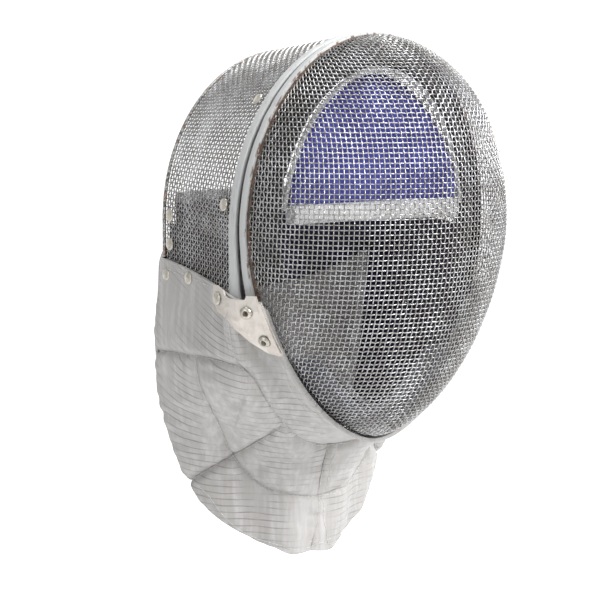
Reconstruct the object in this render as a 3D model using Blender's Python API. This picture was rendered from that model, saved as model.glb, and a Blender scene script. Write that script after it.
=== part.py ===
"""Sabre fencing mask with a woven face, a two-rail band and a cloth bib. Metres, +Z up, the face towards -Y."""

import math
from collections import namedtuple

import bmesh
import bpy
import numpy as np
from mathutils import Vector
from mathutils.bvhtree import BVHTree

# Mesh opening and band. Heights are measured from ear level, depths from the middle of the band.
earHalfWidth = 0.0950
crownRise = 0.1250
chinDrop = 0.1385
bandWidth = 0.0170
bandFlare = 0.0020
crownLean = 0.0080
chinRoundness = 1.70
meshWall = 0.0020

# Face dome in front of the band.
domeDepth = 0.0840
domeRoundness = 2.0
leanSpread = 0.7
apexHeight = 0.0200

# Back mesh behind the band.
arcFlare = 0.0035
arcHalfWidth = earHalfWidth + arcFlare
arcRise = 0.1140
arcDepth = 0.0870
arcCrownReach = 0.0040
arcCrownDepth = arcDepth + arcCrownReach
backDropFront = 0.0490
backDropRear = 0.0400
cornerDrop = 0.0480
straightStart = 1.60
straightRun = 0.50

# Rails, the web under their groove, and the bead on the rear edge.
railWidth = 0.0068
railHeight = 0.0030
railClearance = 0.0090
webWall = 0.0010
beadRadius = 0.0016

# Bib of thick cloth: how far it laps the mesh, and how deep it hangs.
bibWall = 0.0026
bibLap = 0.0090
bibRearLap = 0.0170
bibLead = 0.0100
bibLapBend = 1.8
bibDepth = 0.2250
bibFlare = 0.0060
bibHalfWidth = earHalfWidth + bibFlare
bibRearReach = 0.0090
bibRearDepth = arcDepth + bibRearReach
bibSway = -0.0070
flapWall = 0.0022
flapCentreGap = 0.0012
flapReach = 0.0250
flapBack = arcDepth + flapReach
flapHollow = 0.0060
flapShoulder = 0.0300
wingStart = 0.06
wingReach = 0.50
liningWall = 0.0024
bindingWidth = 0.0060

# Padding.
padInset = 0.0035
padSpan = 1.90
pipingSpan = 1.45
padThickness = 0.0170
padReach = 0.0180
padDepth = 0.0130
pipingRadius = 0.0016
foreheadSpan = 1.30
foreheadWall = 0.0120
foreheadFront = 0.0210
foreheadHollow = 0.0060
foreheadFoot = 0.0160
bindingHeight = 0.0120
chinSpan = 0.80
chinInset = 0.0024
chinPadThickness = 0.0150
strapWall = 0.0050
strapHeight = 0.0600
strapTop = 0.0140
strapInset = 0.0060
strapHalfWidth = arcHalfWidth - strapInset
strapRoot = 0.0110
strapStart = arcDepth - strapRoot
strapReach = 0.0170
strapBack = arcDepth + strapReach
strapEndLength = 0.0300
strapTurn = 1.25
strapTaper = 2.60

# Side plate and small heads.
plateLength = 0.0370
plateHeight = 0.0440
plateBack = 0.0170
plateTopDrop = 0.0350
plateWall = 0.0012
plateClearance = 0.0021
plateMargin = 0.0040
lipHeight = 0.0009
headRadius = 0.0043
headHeight = 0.0013
screwRadius = 0.0042
screwHeight = 0.0024
slotWidth = 0.0012

# What the head touches at the crown, which is the object's origin.
seatBehindBand = 0.0350
seatBelowMesh = 0.0080

gap = 0.0003
seamGap = 0.0008

# Counts of steps, and the stations at which the side plate and the lining start.
ringSteps = 40
bibSteps = 18
bibRowCount = 12
bandSteps = 35
plateStation = 0.55
plateCells = 17
plateEasing = 200
liningStation = 9

PlateRow = namedtuple("PlateRow", "across top foot")

# Outline of a side plate in side view: across runs to the front as a share of its length, top and foot are
# shares of its height below its highest corner.
plateRows = (
    PlateRow(0.00, 0.02, 0.12),
    PlateRow(0.03, 0.00, 0.28),
    PlateRow(0.12, 0.00, 0.38),
    PlateRow(0.30, 0.06, 0.45),
    PlateRow(0.34, 0.14, 0.47),
    PlateRow(0.45, 0.17, 0.60),
    PlateRow(0.56, 0.18, 0.80),
    PlateRow(0.70, 0.18, 0.95),
    PlateRow(0.73, 0.12, 0.97),
    PlateRow(0.89, 0.12, 1.00),
    PlateRow(0.91, 0.20, 1.00),
    PlateRow(0.965, 0.20, 1.00),
    PlateRow(1.00, 0.45, 0.98),
)
lipRows = (
    PlateRow(0.915, 0.22, 0.985),
    PlateRow(0.955, 0.22, 0.985),
    PlateRow(0.99, 0.46, 0.97),
)
PlateSpot = namedtuple("PlateSpot", "across down")
screwRows = (PlateSpot(0.72, 0.36), PlateSpot(0.80, 0.78))
plateRivet = PlateSpot(0.13, 0.19)

RivetRow = namedtuple("RivetRow", "share along")

# Rivets of one side: share runs from the crown to the back mesh's foot, along from the band to its rear edge.
meshRivetRows = (RivetRow(0.42, 0.09), RivetRow(0.722, 0.08), RivetRow(0.786, 0.90), RivetRow(0.873, 0.90))
bibRivetRows = (RivetRow(0.965, 0.90), RivetRow(0.955, 0.55))

BibRow = namedtuple("BibRow", "station waistX waistY waistZ midX midY midZ hemX hemY hemZ")

# One row for each section of the bib, from the throat to the rear edge. X is a share of bibHalfWidth, Y of
# bibRearDepth and Z of bibDepth.
bibRows = (
    BibRow(0.00, 0.00, 0.34, -0.660, 0.00, 0.49, -0.800, 0.00, 0.53, -1.000),
    BibRow(0.16, 0.22, 0.27, -0.645, 0.21, 0.51, -0.785, 0.13, 0.55, -1.005),
    BibRow(0.33, 0.44, 0.19, -0.590, 0.33, 0.56, -0.755, 0.23, 0.60, -0.985),
    BibRow(0.48, 0.71, 0.10, -0.500, 0.475, 0.66, -0.720, 0.345, 0.69, -0.960),
    BibRow(0.62, 0.91, 0.18, -0.420, 0.68, 0.74, -0.680, 0.51, 0.76, -0.915),
    BibRow(0.80, 1.01, 0.55, -0.395, 0.82, 0.86, -0.640, 0.64, 0.87, -0.850),
    BibRow(1.00, 0.99, 0.98, -0.395, 0.90, 1.02, -0.590, 0.72, 1.00, -0.780),
)


def clearScene():
    for item in list(bpy.data.objects):
        bpy.data.objects.remove(item, do_unlink=True)


def makeMaterial(name, colour, roughness, metallic):
    material = bpy.data.materials.new(name)
    material.use_nodes = True
    shader = material.node_tree.nodes["Principled BSDF"]
    shader.inputs["Base Color"].default_value = (*colour, 1)
    shader.inputs["Roughness"].default_value = roughness
    shader.inputs["Metallic"].default_value = metallic
    material.diffuse_color = (*colour, 1)
    return material


def addObject(name, points, faces, material, parent, smooth=True):
    mesh = bpy.data.meshes.new(name)
    mesh.from_pydata([tuple(map(float, point)) for point in points], [], faces)
    shape = bmesh.new()
    shape.from_mesh(mesh)
    bmesh.ops.recalc_face_normals(shape, faces=shape.faces)
    shape.to_mesh(mesh)
    shape.free()
    if smooth:
        mesh.shade_smooth()
        mesh.set_sharp_from_angle(angle=math.radians(40))
    made = bpy.data.objects.new(name, mesh)
    made.data.materials.append(material)
    made.parent = parent
    bpy.context.scene.collection.objects.link(made)
    return made


def gridFaces(rows, columns, closed=False):
    """Quads between neighbouring rows, joined round where closed is set."""
    faces = []
    for row in range(rows - 1):
        for column in range(columns if closed else columns - 1):
            after = (column + 1) % columns
            here = row * columns
            above = here + columns
            faces.append((here + column, here + after, above + after, above + column))
    return faces


def addSheet(name, grid, wall, material, parent):
    """A sheet of even thickness through the middle of a grid of points."""
    rows, columns = grid.shape[:2]
    made = addObject(name, grid.reshape(-1, 3), gridFaces(rows, columns), material, parent)
    thicken(made, wall)
    return made


def thicken(made, wall):
    solidify = made.modifiers.new("wall", "SOLIDIFY")
    solidify.thickness = wall
    solidify.offset = 0
    solidify.use_even_offset = True


def addSweep(name, sections, material, parent, smooth=True):
    """A solid through closed sections, with flat ends."""
    sections = np.asarray(sections)
    rows, columns = sections.shape[:2]
    faces = gridFaces(rows, columns, closed=True)
    faces.append(tuple(range(columns)))
    faces.append(tuple(range((rows - 1) * columns, rows * columns)))
    return addObject(name, sections.reshape(-1, 3), faces, material, parent, smooth)


def smoothThrough(points, places, wanted):
    """Catmull-Rom curve through points at the given places, read at the wanted ones."""
    points = np.asarray(points, float)
    places = np.asarray(places, float)
    slopes = np.gradient(points, places, axis=0)
    found = []
    for place in wanted:
        left = int(np.clip(np.searchsorted(places, place) - 1, 0, len(places) - 2))
        width = places[left + 1] - places[left]
        part = (place - places[left]) / width
        found.append(
            (2 * part**3 - 3 * part**2 + 1) * points[left]
            + (part**3 - 2 * part**2 + part) * width * slopes[left]
            + (3 * part**2 - 2 * part**3) * points[left + 1]
            + (part**3 - part**2) * width * slopes[left + 1]
        )
    return np.array(found)


def gridNormals(grid):
    """Unit normals of a grid of points, pointing away from the mask's inside."""
    along = np.gradient(grid, axis=0)
    across = np.gradient(grid, axis=1)
    normals = np.cross(along, across)
    normals /= np.linalg.norm(normals, axis=2, keepdims=True)
    centre = np.array([0, (arcDepth - domeDepth) / 2, -chinDrop / 4])
    return normals * np.sign(np.sum(normals * (grid - centre)))


def rimPoint(angle, share):
    """Point of the band's outline: angle runs from the crown round both sides, share from front to rear."""
    side, height = math.sin(angle), math.cos(angle)
    power = 1 if height >= 0 else 2 / chinRoundness
    z = height * crownRise if height >= 0 else -(abs(height) ** power) * chinDrop
    x = abs(side) ** power * (earHalfWidth + bandFlare * (2 * share - 1))
    if height < 0:
        x = rimHalfWidth(z, share)
    lean = crownLean * max(height, 0) ** 1.5
    return np.array([math.copysign(x, side), bandWidth * (share - 0.5) - lean, z])


def rimHalfWidth(z, share):
    """Half width below ear level: the front edge closes towards the chin, the rear one runs straight down."""
    width = earHalfWidth + bandFlare * (2 * share - 1)
    closing = max(0, 1 - (min(-z, chinDrop) / chinDrop) ** chinRoundness) ** (1 / chinRoundness)
    straight = share * float(np.clip((straightStart + z / cornerDrop) / straightRun, 0, 1))
    return width * (closing + (1 - closing) * straight)


def sideHalfWidth(y, z):
    """Half width of the mask's side below ear level, at a depth behind the band's middle."""
    share = float(np.clip(0.5 + y / bandWidth, 0, 1))
    along = max(0, y - bandWidth / 2) / (arcDepth - bandWidth / 2)
    return rimHalfWidth(z, share) * (1 - along) + arcHalfWidth * along


def rimInward(angle, share=0.5):
    """Unit vector in the band's plane that points to the inside of the mask."""
    step = 0.01
    ahead = rimPoint(angle + step, share) - rimPoint(angle - step, share)
    inward = np.cross([0, 1, 0], ahead)
    return inward / np.linalg.norm(inward)


def angleAtHeight(height):
    """Angle at which the band's outline reaches a height below ear level."""
    return math.pi - math.acos((-height / chinDrop) ** (chinRoundness / 2))


def domePoint(angle, turn):
    """Point of the face dome: turn is 0 at the apex and a right angle at its edge."""
    edge = rimPoint(angle, 0) - np.array([0, gap, 0])
    apex = np.array([0, -bandWidth / 2 - gap, apexHeight])
    inPlane = math.sin(turn) ** (2 / domeRoundness)
    ahead = math.cos(turn) ** (2 / domeRoundness)
    point = apex + (edge - apex) * inPlane
    point[1] = apex[1] + (edge[1] - apex[1]) * inPlane**leanSpread - domeDepth * ahead
    return point


def arcPoint(angle):
    """Point of the back mesh's rear edge at the angle of its front edge."""
    side, height = math.sin(angle), math.cos(angle)
    back = arcDepth + (arcCrownDepth - arcDepth) * max(height, 0)
    width = side if height >= 0 else math.copysign(1, side)
    return np.array([width * arcHalfWidth, back, height * arcRise])


def backPoint(share, along):
    """Point of the back mesh: share runs from one lower edge over the crown, along from band to rear edge."""
    front = rimPoint(frontSpan * share, 1) + np.array([0, gap, 0])
    rear = arcPoint(rearSpan * share)
    return front + (rear - front) * along


def lowerEdge(station, lapped):
    """Border of the bib: along the dome's edge to the side plates, then along the foot of the back mesh."""
    if station < plateStation:
        angle = math.pi - (math.pi - cornerAngle) * station / plateStation
        return rimPoint(angle, 0) - np.array([0, bibLap * lapped, 0])
    along = (station - plateStation) / (1 - plateStation)
    raised = 1 - (1 - along) ** bibLapBend
    y = -bandWidth / 2 + (arcDepth + bandWidth / 2) * along - bibLap * (1 - raised) * lapped
    z = -cornerDrop + (cornerDrop - backDropRear) * along + bibRearLap * raised * lapped
    return np.array([sideHalfWidth(y + bibLead, z), y, z])


def bibGrid():
    """Middle surface of the bib's half on the +X side, a row for each level and a column for each station."""
    places = [row.station for row in bibRows]
    stations = np.linspace(0, 1, bibSteps + 1)
    size = np.array([bibHalfWidth, bibRearDepth, bibDepth])
    waist = smoothThrough([np.array(row[1:4]) * size for row in bibRows], places, stations)
    middle = smoothThrough([np.array(row[4:7]) * size for row in bibRows], places, stations)
    hem = smoothThrough([np.array(row[7:10]) * size for row in bibRows], places, stations)
    columns = []
    for index, station in enumerate(stations):
        offset = outwardAt(station) * (meshWall / 2 + gap + bibWall / 2)
        lapped = lowerEdge(station, 1) + offset
        edge = lowerEdge(station, 0) + offset
        rows = [lapped, edge, waist[index], middle[index], hem[index]]
        lengths = np.concatenate([[0], np.cumsum(np.linalg.norm(np.diff(rows, axis=0), axis=1))])
        wanted = np.concatenate([[0], np.linspace(lengths[1], lengths[-1], bibRowCount)])
        columns.append(smoothThrough(rows, lengths, wanted))
    return np.array(columns).transpose(1, 0, 2)


def outwardAt(station):
    """Unit vector away from the mesh under the bib's border."""
    if station < plateStation:
        angle = math.pi - (math.pi - cornerAngle) * station / plateStation
        return -rimInward(angle, 0)
    along = (station - plateStation) / (1 - plateStation)
    corner = -rimInward(cornerAngle, 0)
    outward = corner + (np.array([1.0, 0, 0]) - corner) * min(1, along * 6)
    return outward / np.linalg.norm(outward)


def wholeBib(half):
    """Both halves of the bib in one grid, from the right rear edge round the throat to the left one."""
    mirrored = half[:, :0:-1] * np.array([-1, 1, 1])
    whole = np.concatenate([mirrored, half], axis=1)
    depth = np.clip((-whole[..., 2] - chinDrop) / (bibDepth - chinDrop), 0, 1)
    whole[..., 0] += bibSway * depth
    return whole


def addDome(material, parent):
    angles = np.linspace(0, 2 * math.pi, ringSteps, endpoint=False)
    turns = np.linspace(math.pi / 2, 0, 9)[:-1]
    points = [domePoint(angle, turn) for turn in turns for angle in angles]
    faces = gridFaces(len(turns), ringSteps, closed=True)
    apex = len(points)
    points.append(domePoint(0, 0))
    last = apex - ringSteps
    for step in range(ringSteps):
        faces.append((last + step, last + (step + 1) % ringSteps, apex))
    thicken(addObject("front_mesh", points, faces, material, parent), meshWall)


def addBackMesh(material, parent):
    shares = np.linspace(-1, 1, 33)
    alongs = np.linspace(0, 1, 6)
    grid = np.array([[backPoint(share, along) for share in shares] for along in alongs])
    addSheet("back_mesh", grid, meshWall, material, parent)


def bandSections(profile, start, end, steps):
    """Sections along the band: each profile point is a depth share of the band and a lift off its outline."""
    sections = []
    for angle in np.linspace(start, end, steps):
        sections.append([rimPoint(angle, share) - rimInward(angle, share) * lift for share, lift in profile])
    return sections


def railProfile(front, rear):
    """Half-round rail between two depth shares, its foot level with the inside of the mesh."""
    foot = -meshWall / 2
    profile = [(front, foot), (front, foot + railHeight * 0.5)]
    middle, half = (front + rear) / 2, (rear - front) / 2
    for turn in np.linspace(math.radians(140), math.radians(40), 3):
        profile.append((middle + half * math.cos(turn), foot + railHeight * (0.5 + math.sin(turn) / 2)))
    return profile + [(rear, foot + railHeight * 0.5), (rear, foot)]


def addBand(rail, web, parent):
    share = railWidth / bandWidth
    span = -railEnd, railEnd, bandSteps
    addSweep("front_rail", bandSections(railProfile(0, share), *span), rail, parent)
    addSweep("back_rail", bandSections(railProfile(1 - share, 1), *span), rail, parent)
    top = -meshWall / 2 - gap * 2.5
    shares = (0.02, 0.35, 0.65, 0.98)
    strip = [(place, top) for place in shares] + [(place, top - webWall) for place in shares[::-1]]
    addSweep("band_web", bandSections(strip, *span), web, parent)


def tube(path, radius, sides=8):
    """Round sections along a path of points."""
    path = np.asarray(path)
    ahead = np.gradient(path, axis=0)
    ahead /= np.linalg.norm(ahead, axis=1, keepdims=True)
    side = np.cross(ahead, [0.0, 1.0, 0.0])
    side /= np.linalg.norm(side, axis=1, keepdims=True)
    above = np.cross(side, ahead)
    turns = np.linspace(0, 2 * math.pi, sides, endpoint=False)
    return [
        [path[i] + radius * (math.cos(turn) * side[i] + math.sin(turn) * above[i]) for turn in turns]
        for i in range(len(path))
    ]


def addRearEdge(material, parent):
    clear = np.array([0, beadRadius + gap, 0])
    end = 1 - (bibRearLap + beadRadius) / (arcRise * rearSpan)
    path = [arcPoint(rearSpan * share) + clear for share in np.linspace(-end, end, 29)]
    addSweep("back_edge", tube(path, beadRadius, 6), material, parent)


def sideGrid(whole, side, stations, rows, inset=0):
    """Part of the bib's middle surface on one side, between two stations, moved inwards."""
    moved = whole - gridNormals(whole) * inset
    first, last = stations if side > 0 else (-stations[1], -stations[0])
    return moved[rows[0]:rows[1], bibSteps + first:bibSteps + last + 1]


def addLinings(whole, materials, parent):
    inset = bibWall / 2 + seamGap + liningWall / 2
    rows = (3, len(whole))
    for side, word in ((-1, "right"), (1, "left")):
        lining = sideGrid(whole, side, (liningStation, bibSteps), rows, inset)
        addSheet("lining_" + word, lining, liningWall, materials["navy"], parent)


def flapGrid(whole, side, shares, inset=0):
    """Part of a rear flap's middle surface, between the bib's rear edge and the slit, moved inwards."""
    root = sideGrid(whole, side, (bibSteps, bibSteps), (1, 11))[:, 0]
    levels = np.linspace(1, 0, len(root))
    centre = np.array([side * flapCentreGap / 2, flapBack, 0]) + root * np.array([0, 0, 1])
    start = root + np.array([0, seamGap, 0])
    bend = root + np.array([0, (flapBack - arcDepth) * 0.7, 0])
    columns = []
    for share in shares:
        point = (1 - share) ** 2 * start + 2 * share * (1 - share) * bend + share**2 * centre
        ahead = (1 - share) * (bend - start) + share * (centre - bend)
        outward = np.cross(ahead, [0, 0, 1.0]) * side
        point -= outward / np.linalg.norm(outward, axis=1, keepdims=True) * inset
        lift = flapShoulder * math.sin(math.pi * share) - flapHollow * share
        point[:, 2] += lift * levels
        columns.append(point)
    return np.array(columns).transpose(1, 0, 2)


def addRearFlaps(whole, materials, parent):
    """Cloth flaps from the bib's rear edges to a slit behind the nape, with the lining turned onto them."""
    inset = flapWall / 2 + seamGap + liningWall / 2
    for side, word in ((-1, "right"), (1, "left")):
        flap = flapGrid(whole, side, np.linspace(0, 1, 8))
        addSheet("rear_flap_" + word, flap, flapWall, materials["lame"], parent)
        wing = flapGrid(whole, side, np.linspace(wingStart, wingReach, 5), inset)
        addSheet("lining_wing_" + word, wing, liningWall, materials["navy"], parent)
        start = wingReach + seamGap / flapBack
        bound = flapGrid(whole, side, np.linspace(start, start + bindingWidth / flapBack, 2), inset)
        addSheet("lining_binding_" + word, bound, liningWall, materials["binding"], parent)


def padPoint(angle, inside, depth):
    """Point inside the band's outline, at a distance inwards and at a depth behind the band's middle."""
    share = float(np.clip(0.5 + depth / bandWidth, 0, 1))
    base = rimPoint(angle, share) + rimInward(angle, share) * inside
    base[1] += depth - bandWidth * (share - 0.5)
    return base


def padSections(profile, start, end, steps):
    angles = np.linspace(start, end, steps)
    return [[padPoint(angle, inside, depth) for inside, depth in profile] for angle in angles]


def pipingPath(inside, depth, start, end, steps):
    return [padPoint(angle, inside, depth) for angle in np.linspace(start, end, steps)]


def addPadding(materials, parent):
    inner = padInset + padThickness
    front = -padReach + padDepth / 3
    profile = [
        (padInset, bandWidth / 2),
        (padInset, -bandWidth / 4),
        (inner - padThickness / 4, -padReach + padDepth / 6),
        (inner, front),
        (inner, padDepth - padReach),
        (padInset + padThickness / 2, bandWidth / 2),
    ]
    addSweep("pad_ring", padSections(profile, -padSpan, padSpan, 29), materials["black"], parent)
    inside = inner + gap + pipingRadius
    path = pipingPath(inside, front, -pipingSpan, pipingSpan, 29)
    addSweep("pad_piping", tube(path, pipingRadius, 6), materials["piping"], parent)
    addForeheadPad(inside + pipingRadius + gap, front, materials, parent)
    addChinPad(materials, parent)


def foreheadDepth(x, halfWidth):
    """Middle of the forehead pad's wall, hollowed towards the forehead."""
    return -foreheadFront + foreheadWall / 2 + foreheadHollow * (1 - (x / halfWidth) ** 2)


def addForeheadPad(inside, front, materials, parent):
    foot = foreheadFoot + gap
    halfWidth = earHalfWidth - inside
    columns = []
    for angle in np.linspace(-foreheadSpan, foreheadSpan, 15):
        top = padPoint(angle, inside, front)
        depth = foreheadDepth(top[0], halfWidth)
        columns.append([[top[0], depth, foot + (top[2] - foot) * share] for share in np.linspace(0, 1, 5)])
    grid = np.array(columns).transpose(1, 0, 2)
    addSheet("forehead_pad", grid, foreheadWall, materials["blue"], parent)
    across = np.linspace(grid[0, 0, 0], grid[0, -1, 0], 15)
    levels = np.linspace(foreheadFoot, foreheadFoot - bindingHeight, 3)
    strip = np.array([[[x, foreheadDepth(x, halfWidth), level] for x in across] for level in levels])
    addSheet("forehead_binding", strip, foreheadWall, materials["binding"], parent)


def addChinPad(materials, parent):
    inner = chinInset + chinPadThickness
    edge = -bandWidth / 2
    front = edge - padReach + padDepth / 4
    profile = [
        (chinInset, edge + padDepth),
        (chinInset, edge - padDepth / 3),
        (inner - chinPadThickness / 4, edge - padReach),
        (inner, front),
        (inner, edge + padDepth / 2),
    ]
    start, end = math.pi - chinSpan, math.pi + chinSpan
    addSweep("chin_pad", padSections(profile, start, end, 25), materials["grey"], parent)
    path = pipingPath(inner + gap + pipingRadius, front, start, end, 25)
    addSweep("chin_piping", tube(path, pipingRadius, 6), materials["piping"], parent)


def strapPoint(across, level):
    """Point of the strap behind the head: across runs over the head's width, level over the strap's height."""
    turn = across * math.pi / 2 * strapTurn
    if abs(turn) <= math.pi / 2:
        x = strapHalfWidth * math.sin(turn)
        y = strapStart + (strapBack - strapStart) * math.cos(turn)
    else:
        x = math.copysign(strapHalfWidth, turn)
        y = strapStart - (abs(turn) - math.pi / 2) * strapEndLength
    middle = max(0, math.cos(min(abs(turn), math.pi / 2))) ** strapTaper
    bottom = strapTop - strapHeight * (1 + middle) / 2
    return np.array([x, y, bottom + (strapTop - bottom) * level])


def addStrap(materials, parent):
    levels = np.linspace(0, 1, 3)
    acrosses = np.linspace(-1, 1, 23)
    grid = np.array([[strapPoint(across, level) for across in acrosses] for level in levels])
    addSheet("back_strap", grid, strapWall, materials["navy"], parent)
    top = grid[-1]
    strip = np.array([top + np.array([0, 0, gap + lift]) for lift in (0, bindingWidth)])
    addSheet("strap_binding", strip, strapWall, materials["binding"], parent)


def plateForm(whole, side):
    """Half widths of the surface on which a side plate lies, over its depths and heights. It is drawn as a taut
    sheet over the cloth and the front mesh."""
    outer = whole + gridNormals(whole) * bibWall / 2
    points = [tuple(point) for point in outer.reshape(-1, 3)]
    cloth = BVHTree.FromPolygons(points, gridFaces(*outer.shape[:2]))
    depths = plateBack + plateMargin - np.linspace(0, 1, plateCells) * (plateLength + 2 * plateMargin)
    heights = plateMargin - plateTopDrop - np.linspace(0, 1, plateCells) * (plateHeight + 2 * plateMargin)
    reach = np.array([[sideReach(cloth, side, y, z) for y in depths] for z in heights])
    for row in range(plateCells - 2, -1, -1):
        reach[row] = np.where(reach[row] > 0, reach[row], reach[row + 1])
    form = reach.copy()
    for _ in range(plateEasing):
        eased = (form[2:, 1:-1] + form[:-2, 1:-1] + form[1:-1, 2:] + form[1:-1, :-2]) / 4
        form[1:-1, 1:-1] = np.maximum(reach[1:-1, 1:-1], eased)
    return form + plateClearance


def sideReach(cloth, side, y, z):
    """How far out the cloth or the front mesh's rim stands at a depth and height, or 0 where there is neither."""
    hit = cloth.ray_cast(Vector((side * 1.0, y, z)), Vector((-side, 0, 0)))[0]
    reach = side * hit.x if hit is not None and side * hit.x > earHalfWidth / 2 else 0
    ahead = -bandWidth / 2 - y
    if ahead > 0:
        reach = max(reach, rimHalfWidth(z, 0) * math.sqrt(1 - (ahead / domeDepth) ** 2) + meshWall)
    return reach


def formReach(form, y, z):
    """Half width of a plate's surface at a depth and height, between the cells of its form."""
    across = (plateBack + plateMargin - y) / (plateLength + 2 * plateMargin) * (plateCells - 1)
    down = (plateMargin - plateTopDrop - z) / (plateHeight + 2 * plateMargin) * (plateCells - 1)
    column, row = min(int(across), plateCells - 2), min(int(down), plateCells - 2)
    across, down = across - column, down - row
    upper = form[row, column] * (1 - across) + form[row, column + 1] * across
    lower = form[row + 1, column] * (1 - across) + form[row + 1, column + 1] * across
    return upper * (1 - down) + lower * down


def platePoint(form, side, across, down, lift=0):
    """Point on a side plate and its outward direction."""
    y, z = plateBack - across * plateLength, -plateTopDrop - down * plateHeight
    step = plateMargin / 2
    x = formReach(form, y, z)
    slopeY = (formReach(form, y + step, z) - formReach(form, y - step, z)) / (2 * step)
    slopeZ = (formReach(form, y, z + step) - formReach(form, y, z - step)) / (2 * step)
    outward = np.array([1, -slopeY, -slopeZ])
    outward /= np.linalg.norm(outward)
    point = np.array([x, y, z]) + outward * lift
    mirror = np.array([side, 1, 1])
    return point * mirror, outward * mirror


def addPlate(name, rows, form, side, lift, wall, material, parent):
    """A pressed plate: its outline's upper and lower edges joined by short strips that follow its form."""
    upper = [(row.across, row.top) for row in rows]
    lower = [(row.across, row.foot) for row in rows]
    inner, outer = [], []
    for (across, top), (same, foot) in zip(upper, lower):
        levels = [top + (foot - top) * share for share in np.linspace(0, 1, 5)]
        inner.append([platePoint(form, side, across, down, lift)[0] for down in levels])
        outer.append([platePoint(form, side, across, down, lift + wall)[0] for down in levels])
    sections = [inner[i] + outer[i][::-1] for i in range(len(rows))]
    addSweep(name, sections, material, parent, smooth=False)


def addPlates(whole, materials, parent):
    for side, word in ((-1, "right"), (1, "left")):
        form = plateForm(whole, side)
        addPlate("side_plate_" + word, plateRows, form, side, 0, plateWall, materials["plate"], parent)
        lift = plateWall + gap * 1.5
        addPlate("plate_lip_" + word, lipRows, form, side, lift, lipHeight, materials["plate"], parent)
        for index, row in enumerate(screwRows):
            seat, outward = platePoint(form, side, row.across, row.down, lift)
            name = "plate_screw_%s_%d" % (word, index + 1)
            addScrew(name, seat, outward, materials["screw"], parent)
        seat, outward = platePoint(form, side, plateRivet.across, plateRivet.down, lift)
        addHead("plate_rivet_" + word, seat, outward, materials["rivet"], parent)


def headProfile(radius, height):
    """Radius and lift of a low domed head, from its centre to its foot."""
    return [(radius * 0.6, height * 0.95), (radius, height * 0.5), (radius, 0)]


def headMesh(radius, height, sides=12):
    points, faces = [(0, 0, height)], []
    profile = headProfile(radius, height)
    for ring, (reach, lift) in enumerate(profile):
        for step in range(sides):
            turn = 2 * math.pi * step / sides
            points.append((reach * math.cos(turn), reach * math.sin(turn), lift))
    for step in range(sides):
        after = (step + 1) % sides
        faces.append((0, 1 + step, 1 + after))
        for ring in range(len(profile) - 1):
            here, below = 1 + ring * sides, 1 + (ring + 1) * sides
            faces.append((here + step, below + step, below + after, here + after))
    last = 1 + (len(profile) - 1) * sides
    faces.append(tuple(last + step for step in range(sides)))
    return points, faces


def addHead(name, seat, outward, material, parent, radius=headRadius, height=headHeight):
    points, faces = headMesh(radius, height)
    made = addObject(name, points, faces, material, parent)
    made.location = Vector(seat)
    made.rotation_euler = Vector((0, 0, 1)).rotation_difference(Vector(outward)).to_euler()
    return made


def addScrew(name, seat, outward, material, parent):
    """Domed screw head with a straight slot across it."""
    screw = addHead(name, seat, outward, material, parent, screwRadius, screwHeight)
    half = slotWidth / 2
    reach = screwRadius * 1.3
    low, high = screwHeight * 0.55, screwHeight * 1.5
    base = [(-reach, -half, low), (reach, -half, low), (reach, half, low), (-reach, half, low)]
    top = [(x, y, high) for x, y, level in base]
    cutter = addSweep(name + "_slot", [base, top], material, parent, smooth=False)
    cutter.location, cutter.rotation_euler = screw.location, screw.rotation_euler
    cutter.hide_render = True
    cutter.display_type = "WIRE"
    slot = screw.modifiers.new("slot", "BOOLEAN")
    slot.object = cutter
    slot.operation = "DIFFERENCE"
    slot.solver = "EXACT"


def meshNormal(share, along):
    step = 0.01
    ahead = backPoint(share, along + step) - backPoint(share, along - step)
    across = backPoint(share + step, along) - backPoint(share - step, along)
    outward = np.cross(ahead, across)
    outward /= np.linalg.norm(outward)
    return outward if np.dot(outward, backPoint(share, along) * np.array([1, 0, 1])) > 0 else -outward


def addRivets(materials, parent):
    lift = meshWall / 2 + gap
    for side, word in ((-1, "right"), (1, "left")):
        for index, row in enumerate(meshRivetRows):
            outward = meshNormal(side * row.share, row.along)
            seat = backPoint(side * row.share, row.along) + outward * lift
            addHead("mesh_rivet_%s_%d" % (word, index + 1), seat, outward, materials["rivet"], parent)
        for index, row in enumerate(bibRivetRows):
            outward = meshNormal(side * row.share, row.along)
            seat = backPoint(side * row.share, row.along) + outward * (lift + bibWall + gap)
            addHead("bib_rivet_%s_%d" % (word, index + 1), seat, outward, materials["rivet"], parent)


clearScene()
frontSpan = angleAtHeight(-backDropFront)
rearSpan = math.pi / 2 + math.asin(backDropRear / arcRise)
cornerAngle = angleAtHeight(-cornerDrop)
railEnd = angleAtHeight(-cornerDrop + railClearance)


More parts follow.
